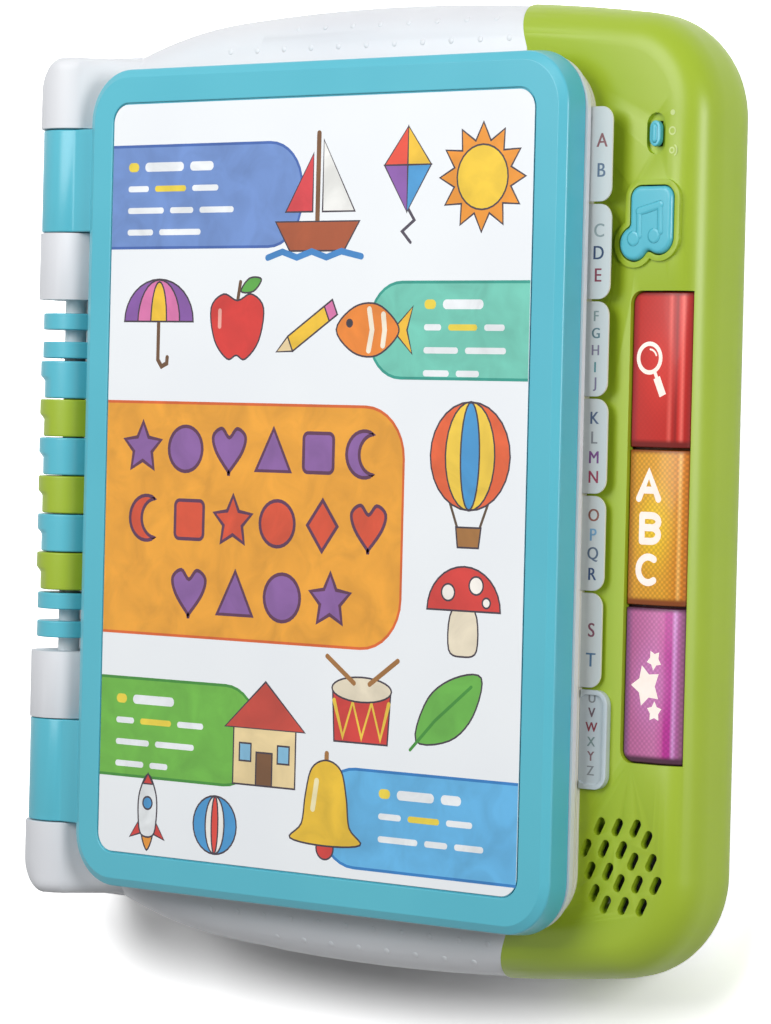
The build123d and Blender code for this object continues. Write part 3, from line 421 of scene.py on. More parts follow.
def madeSurface(name, base, second, grain, roughness, metallic=0.0, coat=0.0, skin=0.01,
                stretch=(1, 1, 1), texture="ShaderNodeTexNoise", edges=(0.35, 0.65), ior=1.5):
    # two tones laid out by a noise or cell pattern of that grain in mm, with a fine skin of that depth in mm
    wear = 0.06         # how far the roughness drifts each way
    material, tree, output, place = newMaterial(name)
    drawn = addNode(tree, "ShaderNodeMapping", {"Vector": place, "Scale": stretch})
    pattern = addNode(tree, texture, {"Vector": drawn, "Scale": 1 / (grain * mm)})
    if texture == "ShaderNodeTexVoronoi":
        pattern.distance = "MANHATTAN"
    value = addNode(tree, "ShaderNodeMapRange", {"Value": pattern, "From Min": edges[0],
                                                 "From Max": edges[1]})
    tone = mixColour(tree, value.outputs[0], linear(base), linear(second))
    worn = addNode(tree, "ShaderNodeMapRange", {"Value": value, "To Min": roughness - wear,
                                                "To Max": roughness + wear})
    shader = addNode(tree, "ShaderNodeBsdfPrincipled", {
        "Base Color": tone, "Roughness": worn, "Metallic": metallic, "IOR": ior, "Coat Weight": coat,
        "Normal": mouldedSkin(tree, place, 0.4, skin)})
    tree.links.new(shader.outputs[0], output.inputs["Surface"])
    return material


def cellSleeve():
    # Alkaline cell in a shrunk PVC sleeve: glossy black with a copper end and a thin pale ring between
    bands = ((0.0, "#1b1c20"), (0.66, "#d9d4c8"), (0.69, "#b06a34"))
    low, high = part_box("battery_cells")
    material, tree, output, place = newMaterial("shrunkPvcSleeve")
    where = addNode(tree, "ShaderNodeSeparateXYZ", {0: place})
    along = addNode(tree, "ShaderNodeMapRange", {"Value": where.outputs["Y"], "From Min": low.y,
                                                 "From Max": high.y})
    scuffs = addNode(tree, "ShaderNodeTexNoise", {"Vector": place, "Scale": 1 / (2 * mm), "Detail": 4.0})
    rough = addNode(tree, "ShaderNodeMapRange", {"Value": scuffs, "To Min": 0.18, "To Max": 0.38})
    shader = addNode(tree, "ShaderNodeBsdfPrincipled", {
        "Base Color": colourBands(tree, along, bands, "CONSTANT"), "Roughness": rough, "IOR": 1.54,
        "Coat Weight": 0.4})
    tree.links.new(shader.outputs[0], output.inputs["Surface"])
    return material


# each button's tint across the face and over the fold: darker at the left where the wall is seen through,
# with painted highlight lines at the folds and painted shade on the sloping face and side wall past them
redTintAndPaintedFoldLight = ((0.0, "#5e1620"), (0.1, "#96262e"), (0.17, "#b8302a"), (0.56, "#ba2a23"), (0.61, "#dc5a50"),
            (0.65, "#b0201b"), (0.7, "#8f1b18"), (0.74, "#c9302a"), (0.785, "#ea6a60"), (0.83, "#b3241f"),
            (0.9, "#971b17"), (1.0, "#7e1512"))
amberTintAndPaintedFoldLight = ((0.0, "#75431a"), (0.1, "#a9702a"), (0.17, "#d3962e"), (0.56, "#d79a2a"), (0.68, "#cf8d26"),
              (0.75, "#c87f22"), (0.79, "#ecb460"), (0.84, "#cb7c22"), (0.92, "#b2661a"), (1.0, "#8f4d12"))
purpleTintAndPaintedFoldLight = ((0.0, "#4c2c48"), (0.1, "#80507c"), (0.17, "#b0608f"), (0.5, "#c070a2"), (0.6, "#bf5c9c"),
               (0.64, "#b0308c"), (0.72, "#ae308e"), (0.77, "#cc90ca"), (0.82, "#a85c96"), (0.88, "#8c5478"),
               (1.0, "#6a3a58"))
finishes = {
    "white_abs": mouldedPlastic("whiteAbsMoulded", "#e2e4e8", "#dddfe4", 0.45),
    "green_abs": mouldedPlastic("greenAbsMoulded", "#a0b926", "#9bb522", 0.37),
    "blue_abs": mouldedPlastic("tealAbsMoulded", "#58bdd0", "#53b9cd", 0.29),
    "rod_white": mouldedPlastic("acetalRodTurned", "#f8fbfc", "#f2f6f8", 0.3),
    "cover_print": mouldedPlastic("printedCardWhite", "#f5f9fc", "#f2f6fa", 0.32, 1.2, 0.004),
    "page_card": pageBoard(),
    "tab_grey": mouldedPlastic("greyAbsMoulded", "#c3cdd2", "#bbc6cc", 0.4),
    "red_clear": clearButton("redClearStyrene", "search_button", redTintAndPaintedFoldLight, "#6d120d", "#cf332a", 0.03),
    "amber_clear": clearButton("amberClearStyrene", "letters_button", amberTintAndPaintedFoldLight, "#7c3c0d", "#e6bf22", 0.2),
    "purple_clear": clearButton("purpleClearStyrene", "stars_button", purpleTintAndPaintedFoldLight, "#452038", "#c47ab4",
                                0.14),
    # FR4 board: green solder mask, paler where the copper tracks run under it
    "circuit_board": madeSurface("fr4SolderMask", "#1f5e38", "#3c8a55", 2.2, 0.38, coat=0.3, skin=0.004,
                                 texture="ShaderNodeTexVoronoi", edges=(0.42, 0.5)),
    # Moulded epoxy packages: near-black, matt, finely pitted
    "black_epoxy": madeSurface("blackEpoxyMoulded", "#17181a", "#222427", 0.8, 0.55),
    # Polyester film with carbon pads printed on it: smoky with a clear gloss
    "film": madeSurface("printedPolyesterFilm", "#8d979c", "#a9b2b6", 4.0, 0.22, coat=0.5, skin=0.002),
    # Silicone keypad: soft matt grey with a dusty bloom
    "grey_rubber": madeSurface("siliconeRubberGrey", "#8b8f92", "#9a9ea0", 1.5, 0.72, skin=0.02, ior=1.41),
    # Clear epoxy lamp body: milky core with a bright polish
    "led_clear": madeSurface("ledEpoxyClear", "#e8ecee", "#f8fafa", 1.2, 0.12, coat=1.0, skin=0.0, ior=1.56),
    # Zinc-plated steel: bright with faint spangle
    "steel": madeSurface("zincPlatedSteel", "#b9bec4", "#d5d9dd", 1.0, 0.32, metallic=1.0, skin=0.004),
    # Pressed steel basket: satin, drawn lines along one way
    "speaker_steel": madeSurface("pressedSteelSatin", "#8e959b", "#a6adb3", 1.6, 0.4, metallic=1.0,
                                 stretch=(1, 6, 1)),
    # Felted paper pulp: charcoal with loose pale fibres
    "cone_paper": madeSurface("feltedPaperPulp", "#26272a", "#46484c", 0.5, 0.85, skin=0.05,
                              edges=(0.4, 0.75)),
    # Sintered ferrite: dark grey ceramic with a fine crystalline glitter
    "ferrite": madeSurface("sinteredFerrite", "#2f3135", "#43464b", 0.35, 0.5, skin=0.02),
    "cell_jacket": cellSleeve(),
    # Natural rubber pads: matt charcoal, slightly grainy
    "foot_rubber": madeSurface("rubberPadGrey", "#4a4d50", "#5a5d60", 0.9, 0.8, skin=0.04, ior=1.52),
}
ink = printedInk()
for name, node in nodes.items():
    node.data.materials.clear()
    node.data.materials.append(finishes[slotOf[name]])
print("finishes ready", len(finishes))


# Shells with softened edges

softEdges = {
    "width": 0.35,      # mm, the small radius that a moulded edge has
    "segments": 3,
    "angle": 32,        # degrees, edges sharper than this are softened
    "flat": 0.5,        # degrees, faces closer to level than this are joined
    "merge": 0.002,     # mm, corners closer than this are one
}


def mergeCorners(shape):
    bmesh.ops.remove_doubles(shape, verts=shape.verts, dist=softEdges["merge"] * mm)


def mergedCopy(name):
    shape = bmesh.new()
    shape.from_mesh(nodes[name].data)
    mergeCorners(shape)
    return shape


def softened(shape, newName, name, width=softEdges["width"]):
    # flat faces are joined, every sharp edge is rounded a little, and the piece stands for its CAD node
    bmesh.ops.dissolve_limit(shape, angle_limit=math.radians(softEdges["flat"]), verts=shape.verts,
                             edges=shape.edges, delimit=set())
    for face in shape.faces:
        face.smooth = True
    thing = addObject(newName, meshFrom(newName, shape), finishes[slotOf[name]])
    bevel = thing.modifiers.new("edge", "BEVEL")
    bevel.width = width * mm
    bevel.segments = softEdges["segments"]
    bevel.limit_method = "ANGLE"
    bevel.angle_limit = math.radians(softEdges["angle"])
    bevel.use_clamp_overlap = True
    bevel.harden_normals = True
    ride(applied(thing), bodyOf[name], slotOf[name], name)


def cutAway(shape, boxes):
    # boxes of (low, high) corners in mm are taken out of a closed shape
    body = addObject("cut", meshFrom("cut", shape))
    for low, high in boxes:
        block = bmesh.new()
        middle = [(a + b) / 2 * mm for a, b in zip(low, high)]
        sizes = [(b - a) * mm for a, b in zip(low, high)]
        bmesh.ops.create_cube(block, size=1.0,
                              matrix=Matrix.Translation(middle) @ Matrix.Diagonal(sizes + [1]))
        cutter = addObject("cutter", meshFrom("cutter", block))
        modifier = body.modifiers.new("cut", "BOOLEAN")
        modifier.operation = "DIFFERENCE"
        modifier.solver = "EXACT"
        modifier.object = cutter
        applied(body)
        bpy.data.objects.remove(cutter)
    out = bmesh.new()
    out.from_mesh(body.data)
    bpy.data.objects.remove(body)
    return out


spine = {
    "axisX": -105.9,
    "axisZ": 35.0,
    "capRadius": 11.4,
    "capInner": 101.2,
    "capEnd": 122.1,
    "capCornerRound": 9.5,      # in plan, at the outer corner
    "capEdgeRound": 3.4,        # where the end turns over the top
    "capRings": 10,             # round the outer corner
    "capInnerEdge": (0.25, 0.3),        # length and depth of the small chamfer at the inner end
    "archTurn": 135,            # degrees of the round top, from its outer side
    "archSteps": 16,
    "shoulder": (-91.2, 32.6),  # where its slope meets the body
    "run": (-82.0, 30.2),       # and where it has run out under the bowed edge
    "low": 22.0,
    "seam": 23.5,               # below this the cap tucks inside the casing's wall
    "tuck": 0.3,
    "bodyCut": (-88.0, 23.4, 50.0),     # the casing's own cap is taken off as far right, low and high as this
    "cutMargin": 1.0,
    "cutOverlap": 0.05,
}


def closedLoft(name, rings):
    # rings of equal count joined to each other, the first and last filled
    shape = bmesh.new()
    rows = [[shape.verts.new([c * mm for c in point]) for point in ring] for ring in rings]
    for first, second in zip(rows, rows[1:]):
        for i, corner in enumerate(first):
            j = (i + 1) % len(first)
            shape.faces.new((corner, first[j], second[j], second[i]))
    shape.faces.new(rows[0])
    shape.faces.new(rows[-1])
    bmesh.ops.recalc_face_normals(shape, faces=shape.faces)
    for face in shape.faces:
        face.smooth = True
    return meshFrom(name, shape)


def flatShaded(thing):
    # broad faces keep their own normal, so that only the small rounds catch the light
    weigh = thing.modifiers.new("weigh", "WEIGHTED_NORMAL")
    weigh.keep_sharp = True
    return applied(thing)


def roundedIn(radius, left):
    # how far a rounded end has drawn in, at this distance from its tip
    return radius - math.sqrt(max(0, radius ** 2 - (radius - left) ** 2)) if left < radius else 0


def capRing(far, y):
    # one section of an end cap, that far from its inner end
    radius, steps = spine["capRadius"], spine["archSteps"]
    left = spine["capEnd"] - spine["capInner"] - far
    inX, inZ = roundedIn(spine["capCornerRound"], left), roundedIn(spine["capEdgeRound"], left)
    if far == 0:
        inX = inZ = spine["capInnerEdge"][1]
    outer = spine["axisX"] - radius + inX
    ring = [(outer + spine["tuck"], y, spine["low"]), (outer, y, spine["seam"])]
    for i in range(steps + 1):
        angle = math.radians(180 - spine["archTurn"] * i / steps)
        outward = max(0, -math.cos(angle))
        reach = radius - inX * outward - inZ * (1 - outward)
        ring.append((spine["axisX"] + reach * math.cos(angle), y,
                     spine["axisZ"] + reach * math.sin(angle)))
    (shoulderX, shoulderZ), (runX, runZ) = spine["shoulder"], spine["run"]
    return ring + [(shoulderX, y, shoulderZ - inZ), (runX, y, runZ - inZ), (runX, y, spine["low"])]


def makeCaps():
    length = spine["capEnd"] - spine["capInner"]
    stations = [0.0, spine["capInnerEdge"][0]]
    stations += [length - spine["capCornerRound"] * (1 - math.sin(math.pi / 2 * i / spine["capRings"]))
                 for i in range(spine["capRings"] + 1)]
    for side, name in ((1, "topEndCap"), (-1, "bottomEndCap")):
        rings = [capRing(far, side * (spine["capInner"] + far)) for far in stations]
        cap = addObject(name, closedLoft(name, rings), finishes["white_abs"])
        ride(flatShaded(cap), "root", "white_abs")


def makeCasing():
    right, low, high = spine["bodyCut"]
    left = spine["axisX"] - spine["capRadius"] - spine["cutMargin"]
    inner = spine["capInner"] - spine["cutOverlap"]
    end = span("front_casing")[1].y + spine["cutMargin"]
    boxes = [((left, first, low), (right, last, high)) for first, last in ((inner, end), (-end, -inner))]
    softened(cutAway(mergedCopy("front_casing"), boxes), "whiteCasingShell", "front_casing")
    makeCaps()


makeCasing()
for name, newName in (("green_panel", "greenPanelShell"), ("last_tab", "lastTabPlate"),
                      ("search_button", "searchLens"), ("letters_button", "lettersLens"),
                      ("stars_button", "starsLens")):
    softened(mergedCopy(name), newName, name)
print("shells ready")


# The cover: a frame with a bevelled face round the printed card, and the two hinge barrels

cover = {
    "left": -90.9, "right": 84.1, "top": 117.9, "corner": 15.5,
    "windowLeft": -80.7, "windowRight": 73.6, "windowTop": 107.6, "windowCorner": 5.8,
    "barrelCut": -91.0,         # the barrels and straps are what lies left of this
    "barrelFar": 100.0,         # what lies past this is moved in, to leave the end caps their length
    "barrelShort": 1.3,
    "strapTuck": 1.6,           # how far the straps run on into the frame
    "barrelEdge": 0.45,
    "cornerSteps": 14,
    # inset and height of each edge of the section, with the radius that softens it
    "section": ((3.6, 45.2, 0), (2.2, 39.4, 0.3), (0.0, 39.4, 0.35), (0.6, 46.2, 0.9), (3.0, 47.5, 0.5)),
    "windowSection": ((0.0, 47.5, 0.3), (0.02, 46.7, 0)),
    "cardGap": 0.5,             # the groove that stays open round the printed card
    "cardEdge": 0.08,
}


def softenedLine(points, steps=4):
    # each corner of an open line, given with a radius, becomes an arc
    out = [points[0][:2]]
    for before, here, after in zip(points, points[1:], points[2:]):
        radius = here[2]
        corner, first, last = Vector(here[:2]), Vector(before[:2]), Vector(after[:2])
        inward, onward = (first - corner).normalized(), (last - corner).normalized()
        half = inward.angle(onward) / 2
        reach = radius / math.tan(half)
        centre = corner + (inward + onward).normalized() * radius / math.sin(half)
        start, end = corner + inward * reach - centre, corner + onward * reach - centre
        turn = start.angle_signed(end)
        out += [tuple(centre + Matrix.Rotation(-turn * i / steps, 2) @ start) for i in range(steps + 1)]
    return out + [points[-1][:2]]


def arcPoints(x, y, radius, start, end, steps):
    angles = [math.radians(start + (end - start) * i / steps) for i in range(steps + 1)]
    return [(x + radius * math.cos(a), y + radius * math.sin(a)) for a in angles]


def roundedRing(left, right, top, radius, inset, z):
    # a rounded rectangle, as high as it is low, drawn in on all sides
    steps = cover["cornerSteps"]
    left, right, top, radius = left + inset, right - inset, top - inset, radius - inset
    ring = []
    for number, (x, y) in enumerate(((right - radius, top - radius), (left + radius, top - radius),
                                     (left + radius, radius - top), (right - radius, radius - top))):
        ring += [(px, py, z) for px, py in arcPoints(x, y, radius, 90 * number, 90 * (number + 1), steps)]
    return ring


def makeFrame():
    outside = [cover[key] for key in ("left", "right", "top", "corner")]
    window = [cover["window" + key] for key in ("Left", "Right", "Top", "Corner")]
    inset, high, radius = cover["section"][-1]
    start = (cover["windowSection"][0][0] - inset, high, 0)
    outer = softenedLine([*cover["section"], (2 * inset, high, 0)])[:-1]
    inner = softenedLine([start, *cover["windowSection"]])[1:]
    rings = [roundedRing(*outside, *edge) for edge in outer] + [roundedRing(*window, *edge) for edge in inner]
    thing = addObject("coverFrame", closedLoft("coverFrame", rings), finishes["blue_abs"])
    ride(flatShaded(thing), "cover", "blue_abs", "cover_shell")

    card = bmesh.new()
    card.from_mesh(closedLoft("coverCard", [roundedRing(*window, cover["cardGap"], corner.z)
                                            for corner in span("cover_insert")]))
    softened(card, "coverCard", "cover_insert", cover["cardEdge"])


def makeBarrels():
    shape = mergedCopy("cover_shell")
    cut = bmesh.ops.bisect_plane(shape, geom=shape.verts[:] + shape.edges[:] + shape.faces[:], dist=1e-7,
                                 plane_co=(cover["barrelCut"] * mm, 0, 0), plane_no=(1, 0, 0),
                                 clear_outer=True)
    rim = [edge for edge in cut["geom_cut"] if isinstance(edge, bmesh.types.BMEdge)]
    for corner in bmesh.ops.extrude_edge_only(shape, edges=rim)["geom"]:
        if isinstance(corner, bmesh.types.BMVert):
            corner.co.x += cover["strapTuck"] * mm
    bmesh.ops.holes_fill(shape, edges=[edge for edge in shape.edges if edge.is_boundary])
    bmesh.ops.recalc_face_normals(shape, faces=shape.faces)
    for corner in shape.verts:
        if abs(corner.co.y) > cover["barrelFar"] * mm:
            corner.co.y -= math.copysign(cover["barrelShort"] * mm, corner.co.y)
    softened(shape, "coverBarrels", "cover_shell", cover["barrelEdge"])


makeFrame()
makeBarrels()
print("cover ready")


# Pages: longer stiff leaves, their tabs, and the round binder that grips each one

leaves = {
    "count": 6,
    "left": -88.9, "right": 82.3, "top": 115.0, "corner": 14.0, "shoulder": 4.0,
    "neckLeft": -94.2, "neckTop": 100.6,
    "tongueLeft": -100.2, "tongueHalf": 4.65,
    "tabRight": (91.6, 91.3, 90.7, 90.6, 90.1, 89.3),
    "tabTop": 102.6, "tabPitch": 25.7, "tabTall": 25.1, "tabCorner": 3.7,
    "tight": 0.4,               # radius of the corners that stay nearly sharp
    "cornerSteps": 8,
    "edge": 0.1,
    "lastFrom": 90.0,           # past this, the last page is made longer
    "lastShift": 5.0,
}
binders = {
    "first": 28.0, "pitch": 11.2, "half": 5.45, "radius": 9.9, "lowRadius": 8.3, "edge": 0.5,
    "edgeTurns": (0, 30, 60, 90),
    "stepUp": (-0.4, 0.1, 0.7, 1.2),        # along the rod, where the back rises from low to full
    "behind": 0.7,              # under 1 the step keeps more of its depth towards the sides
    "sides": 64,
}


def leafOutline(number):
    # anticlockwise from the inner end of the tongue
    binderY = binders["first"] - binders["pitch"] * number
    tabHigh = leaves["tabTop"] - leaves["tabPitch"] * number
    tabLow, tabRight = tabHigh - leaves["tabTall"], leaves["tabRight"][number]
    left, right, top, shoulder = (leaves[key] for key in ("left", "right", "top", "shoulder"))
    neck, neckTop, tongue, half = (leaves[key] for key in ("neckLeft", "neckTop", "tongueLeft", "tongueHalf"))
    corner, tabCorner, tight = leaves["corner"], leaves["tabCorner"], leaves["tight"]
    line = [(tongue, binderY, 0), (tongue, binderY - half, tight), (neck, binderY - half, tight),
            (neck, -neckTop, tight), (left, -neckTop, tight), (left, -top, shoulder), (right, -top, corner),
            (right, tabLow, tight), (tabRight, tabLow, tabCorner), (tabRight, tabHigh, tabCorner),
            (right, tabHigh, tight), (right, top, min(corner, top - tabHigh - 2 * tight)),
            (left, top, shoulder), (left, neckTop, tight), (neck, neckTop, tight),
            (neck, binderY + half, tight), (tongue, binderY + half, tight), (tongue, binderY, 0)]
    return softenedLine(line, leaves["cornerSteps"])[:-1]


def makeLeaf(number):
    name = f"leaf_{number + 1}"
    outline = leafOutline(number)
    shape = bmesh.new()
    shape.from_mesh(closedLoft(name, [[(x, y, corner.z) for x, y in outline] for corner in span(name)]))
    softened(shape, f"longLeaf{number + 1}", name, leaves["edge"])


def binderRing(along, inset, middle):
    start, end = binders["stepUp"][0], binders["stepUp"][-1]
    rise = min(1, max(0, (along - start) / (end - start)))
    back = binders["lowRadius"] + (binders["radius"] - binders["lowRadius"]) * rise
    ring = []
    for i in range(binders["sides"]):
        angle = 2 * math.pi * i / binders["sides"]
        behind = max(0, -math.cos(angle)) ** binders["behind"]
        reach = binders["radius"] * (1 - behind) + back * behind - inset
        ring.append((spine["axisX"] + reach * math.cos(angle), middle + along,
                     spine["axisZ"] + reach * math.sin(angle)))
    return ring


def makeBinder(number):
    middle = binders["first"] - binders["pitch"] * number
    half, edge = binders["half"], binders["edge"]
    rounds = [(edge * (1 - math.cos(math.radians(a))), edge * (1 - math.sin(math.radians(a))))
              for a in binders["edgeTurns"]]
    stations = [(along - half, inset) for along, inset in rounds] \
        + [(along, 0) for along in binders["stepUp"]] \
        + [(half - along, inset) for along, inset in reversed(rounds)]
    name = f"binder_{number + 1}"
    tube = addObject(f"roundBinder{number + 1}",
                     closedLoft(name, [binderRing(*station, middle) for station in stations]),
                     finishes[slotOf[name]])
    ride(flatShaded(tube), bodyOf[name], slotOf[name], name)


def makeLastPage():
    shape = mergedCopy("last_page")
    for corner in shape.verts:
        if abs(corner.co.y) > leaves["lastFrom"] * mm:
            corner.co.y += math.copysign(leaves["lastShift"] * mm, corner.co.y)
    softened(shape, "longLastPage", "last_page", leaves["edge"])


for number in range(leaves["count"]):
    makeLeaf(number)
    makeBinder(number)
makeLastPage()
print("leaves ready")


# Switch knob and note button

switchKnob = {
    "narrow": 0.82, "long": 1.03, "from": 31.0, "edge": 0.3,       # the knob as modelled, made slimmer
    "ridge": ((0.0, 33.1), (0.25, 33.45), (0.55, 33.6), (0.75, 33.65)),     # inset and height
    "ridgeHalf": (0.95, 2.6),
}
noteSign = {
    "plateDown": 0.5,       # the button's plate, this far under the sign as it was modelled
    "plateEdge": 0.25,
    # each line's start, end, radius and height over the button's face
    "lines": (((98.3, 74.9), (98.45, 68.6), 1.0, 0.2), ((105.05, 76.4), (105.3, 69.6), 1.0, 0.22),
              ((98.3, 74.9), (105.05, 76.6), 1.2, 0.25), ((96.6, 67.8), (96.6, 67.8), 2.1, 0.26),
              ((103.3, 68.5), (103.3, 68.5), 2.1, 0.28)),
    # inset, share of the height
    "section": ((0.0, -0.1), (0.2, 0.25), (0.42, 0.7), (0.62, 0.94), (0.75, 1.0)),
}


def capsuleRing(start, end, radius, z):
    # a ring round a line with half-round ends
    along = Vector(end) - Vector(start)
    turn = math.degrees(math.atan2(along.y, along.x)) if along.length else 0
    return [(x, y, z) for place, quarter in ((end, -90), (start, 90))
            for x, y in arcPoints(*place, radius, turn + quarter, turn + quarter + 180, 12)]


def makeKnob():
    low, high = span("power_slider")
    middle = (low + high) / 2
    shape = mergedCopy("power_slider")
    for corner in shape.verts:
        if corner.co.z > switchKnob["from"] * mm:
            corner.co.x = (middle.x + (corner.co.x / mm - middle.x) * switchKnob["narrow"]) * mm
            corner.co.y = (middle.y + (corner.co.y / mm - middle.y) * switchKnob["long"]) * mm
    softened(shape, "slimKnob", "power_slider", switchKnob["edge"])
    halfX, halfY = switchKnob["ridgeHalf"]
    ends = [(middle.x, middle.y + side * (halfY - halfX)) for side in (-1, 1)]
    rings = [capsuleRing(*ends, halfX - inset, z) for inset, z in switchKnob["ridge"]]
    ridge = addObject("knobRidge", closedLoft("knobRidge", rings), finishes["blue_abs"])
    ride(flatShaded(ridge), "power_slider", "blue_abs")


def makeNote():
    shape = mergedCopy("note_button")
    face = span("note_button")[1].z - noteSign["plateDown"]
    for corner in shape.verts:
        corner.co.z = min(corner.co.z, face * mm)
    mergeCorners(shape)
    softened(shape, "notePlate", "note_button", noteSign["plateEdge"])
    sign = bmesh.new()
    for start, end, radius, high in noteSign["lines"]:
        sign.from_mesh(closedLoft("noteSign", [capsuleRing(start, end, radius - inset, face + share * high)
                                               for inset, share in noteSign["section"]]))
    thing = addObject("noteSign", meshFrom("noteSign", sign), finishes["blue_abs"])
    ride(flatShaded(thing), "note_button", "blue_abs")


makeKnob()
makeNote()
print("controls ready")


# Flat shapes for prints

printed = {
    "lift": 0.006,      # mm between one ink layer and the next
    "line": 0.5,        # mm, width of the dark outline
    "lineColour": "#3a2f3c",
    "mitre": 0.6,       # the least share of a joint's width that is kept
    "fold": 0.01,       # a line that turns back on itself has no mitre
    "panelLine": 0.8,
    "shapeLine": 1.0,
}


def circlePoints(x, y, radius, count=24, start=0.0, end=360.0, tall=1.0):
    turns = [math.radians(start + (end - start) * i / count) for i in range(count + (end - start < 360))]
    return [(x + radius * math.cos(a), y + radius * tall * math.sin(a)) for a in turns]


def bothSides(*half):
    # a right half, given from top to bottom, and its mirror image
    return [*half, *((-x, y) for x, y in reversed(half) if x)]


def starPoints(x, y, radius, turn=90.0, inner=0.45, points=5):
    out = []
    for i in range(2 * points):
        reach = radius * (inner if i % 2 else 1.0)
        angle = math.radians(turn + 180 * i / points)
        out.append((x + reach * math.cos(angle), y + reach * math.sin(angle)))
    return out


def boxPoints(left, right, low, high, radius):
    out = []
    for x, y, start in ((left + radius, low + radius, 180), (right - radius, low + radius, 270),
                        (right - radius, high - radius, 0), (left + radius, high - radius, 90)):
        out += circlePoints(x, y, radius, 6, start, start + 90)
    return out


def smoothPoints(points):
    # a soft closed outline through a few points
    count, steps = len(points), 5
    out = []
    for i in range(count):
        a, b, c, d = (Vector(points[(i + k - 1) % count]) for k in range(4))
        for s in range(steps):
            t = s / steps
            out.append(tuple(0.5 * (2 * b + (c - a) * t + (2 * a - 5 * b + 4 * c - d) * t ** 2
                                    + (3 * b - a - 3 * c + d) * t ** 3)))
    return out


def strokeQuads(points, width, closed=False):
    # a line of that width as quads with mitred joints, where a sharp turn's mitre is cut short
    count = len(points)
    sides = []
    for i, (x, y) in enumerate(points):
        before = points[i - 1] if closed or i else points[i]
        after = points[(i + 1) % count] if closed or i < count - 1 else points[i]
        first = Vector((x - before[0], y - before[1]))
        second = Vector((after[0] - x, after[1] - y))
        first = first.normalized() if first.length else second.normalized()
        second = second.normalized() if second.length else first
        along = (first + second).normalized() if (first + second).length > printed["fold"] else first
        grow = width / 2 / max(printed["mitre"], along.dot(first))
        sides.append(((x - along.y * grow, y + along.x * grow), (x + along.y * grow, y - along.x * grow)))
    quads = []
    for i in range(count if closed else count - 1):
        (leftA, rightA), (leftB, rightB) = sides[i], sides[(i + 1) % count]
        quads.append([leftA, rightA, rightB, leftB])
    return quads


def roundStroke(points, width):
    # the half-round ends only touch the line, since faces that share a place would shade each other
    outlines = strokeQuads(points, width)
    for end, before in ((points[0], points[1]), (points[-1], points[-2])):
        away = math.degrees(math.atan2(end[1] - before[1], end[0] - before[0]))
        outlines.append(circlePoints(*end, width / 2, 8, away - 90, away + 90))
    return outlines


class Sheet:
    # outlines in mm with their colours, each laid on the lowest ink layer that is free above it

    def __init__(self):
        self.shapes = []
        self.taken = []

    def lay(self, outlines, colour, layer=None):
        xs = [x for outline in outlines for x, y in outline]
        ys = [y for outline in outlines for x, y in outline]
        box = (min(xs), max(xs), min(ys), max(ys))
        if layer is None:
            under = [level for left, right, low, high, level in self.taken
                     if left < box[1] and right > box[0] and low < box[3] and high > box[2]]
            layer = 1 + max(under, default=-1)
        self.taken.append(box + (layer,))
        self.shapes += [(outline, colour, layer) for outline in outlines]
        return layer

    def fill(self, outline, colour, line=None, width=None):
        self.lay([outline], colour)
        if line != "none":
            self.lay(strokeQuads(outline, width or printed["line"], True), line or printed["lineColour"])

    def stroke(self, points, colour, width):
        self.lay(roundStroke(points, width), colour)

    def build(self, name, surface, material, facing=1, mirrorX=None):
        sheet = bmesh.new()
        inkOf = sheet.loops.layers.float_color.new("ink")
        for outline, colour, layer in self.shapes:
            z = (surface + facing * printed["lift"] * (1 + layer)) * mm
            turned = [(x if mirrorX is None else mirrorX - x, y) for x, y in outline]
            face = sheet.faces.new([sheet.verts.new((x * mm, y * mm, z)) for x, y in turned])
            face.normal_update()
            if face.normal.z * facing < 0:
                face.normal_flip()
            for loop in face.loops:
                loop[inkOf] = linear(colour)
        bmesh.ops.triangulate(sheet, faces=[face for face in sheet.faces if len(face.verts) > 4])
        return addObject(name, meshFrom(name, sheet), material)


print("print tools ready")


# Index letters on the tabs

tabLetters = {
    "groups": ("AB", "CDE", "FGHIJ", "KLMN", "OPQR", "ST", "UVWXYZ"),
    "x": (88.2, 87.4, 86.6, 86.4, 86.3, 85.9, 86.4),
    "pitch": {2: 7.9, 3: 5.9, 4: 5.2, 5: 4.5, 6: 3.85},       # mm, by the number of letters on the tab
    "height": {2: 3.6, 3: 3.5, 4: 3.2, 5: 2.7, 6: 2.5},
    "shift": (0, 0, 0, 0, 0, -0.9, 1.1),       # mm along the tab
    "struck": 0.2,      # each letter is struck twice this far apart, which makes it bold
    "padGap": 0.6,      # how much taller the base's own pad is than the pitch of the tabs
    "padFloor": 1.1,    # from the pad's back to the floor inside its border
    "refine": 4,
    "colours": {
        "A": "#8c5a5e", "B": "#5b6f86", "C": "#8fa0a2", "D": "#2e4468", "E": "#8c3a50", "F": "#7f9696",
        "G": "#567a84", "H": "#7d7890", "I": "#4e8a90", "J": "#7a7590", "K": "#4f6584", "L": "#8a9096",
        "M": "#7a4a86", "N": "#983a56", "O": "#8c5a50", "P": "#6fa0c4", "Q": "#5b6f86", "R": "#33527e",
        "S": "#7c4a5c", "T": "#4a6f90", "U": "#84898e", "V": "#64505c", "W": "#8c3a48", "X": "#7f9696",
        "Y": "#86686e", "Z": "#84898e",
    },
}


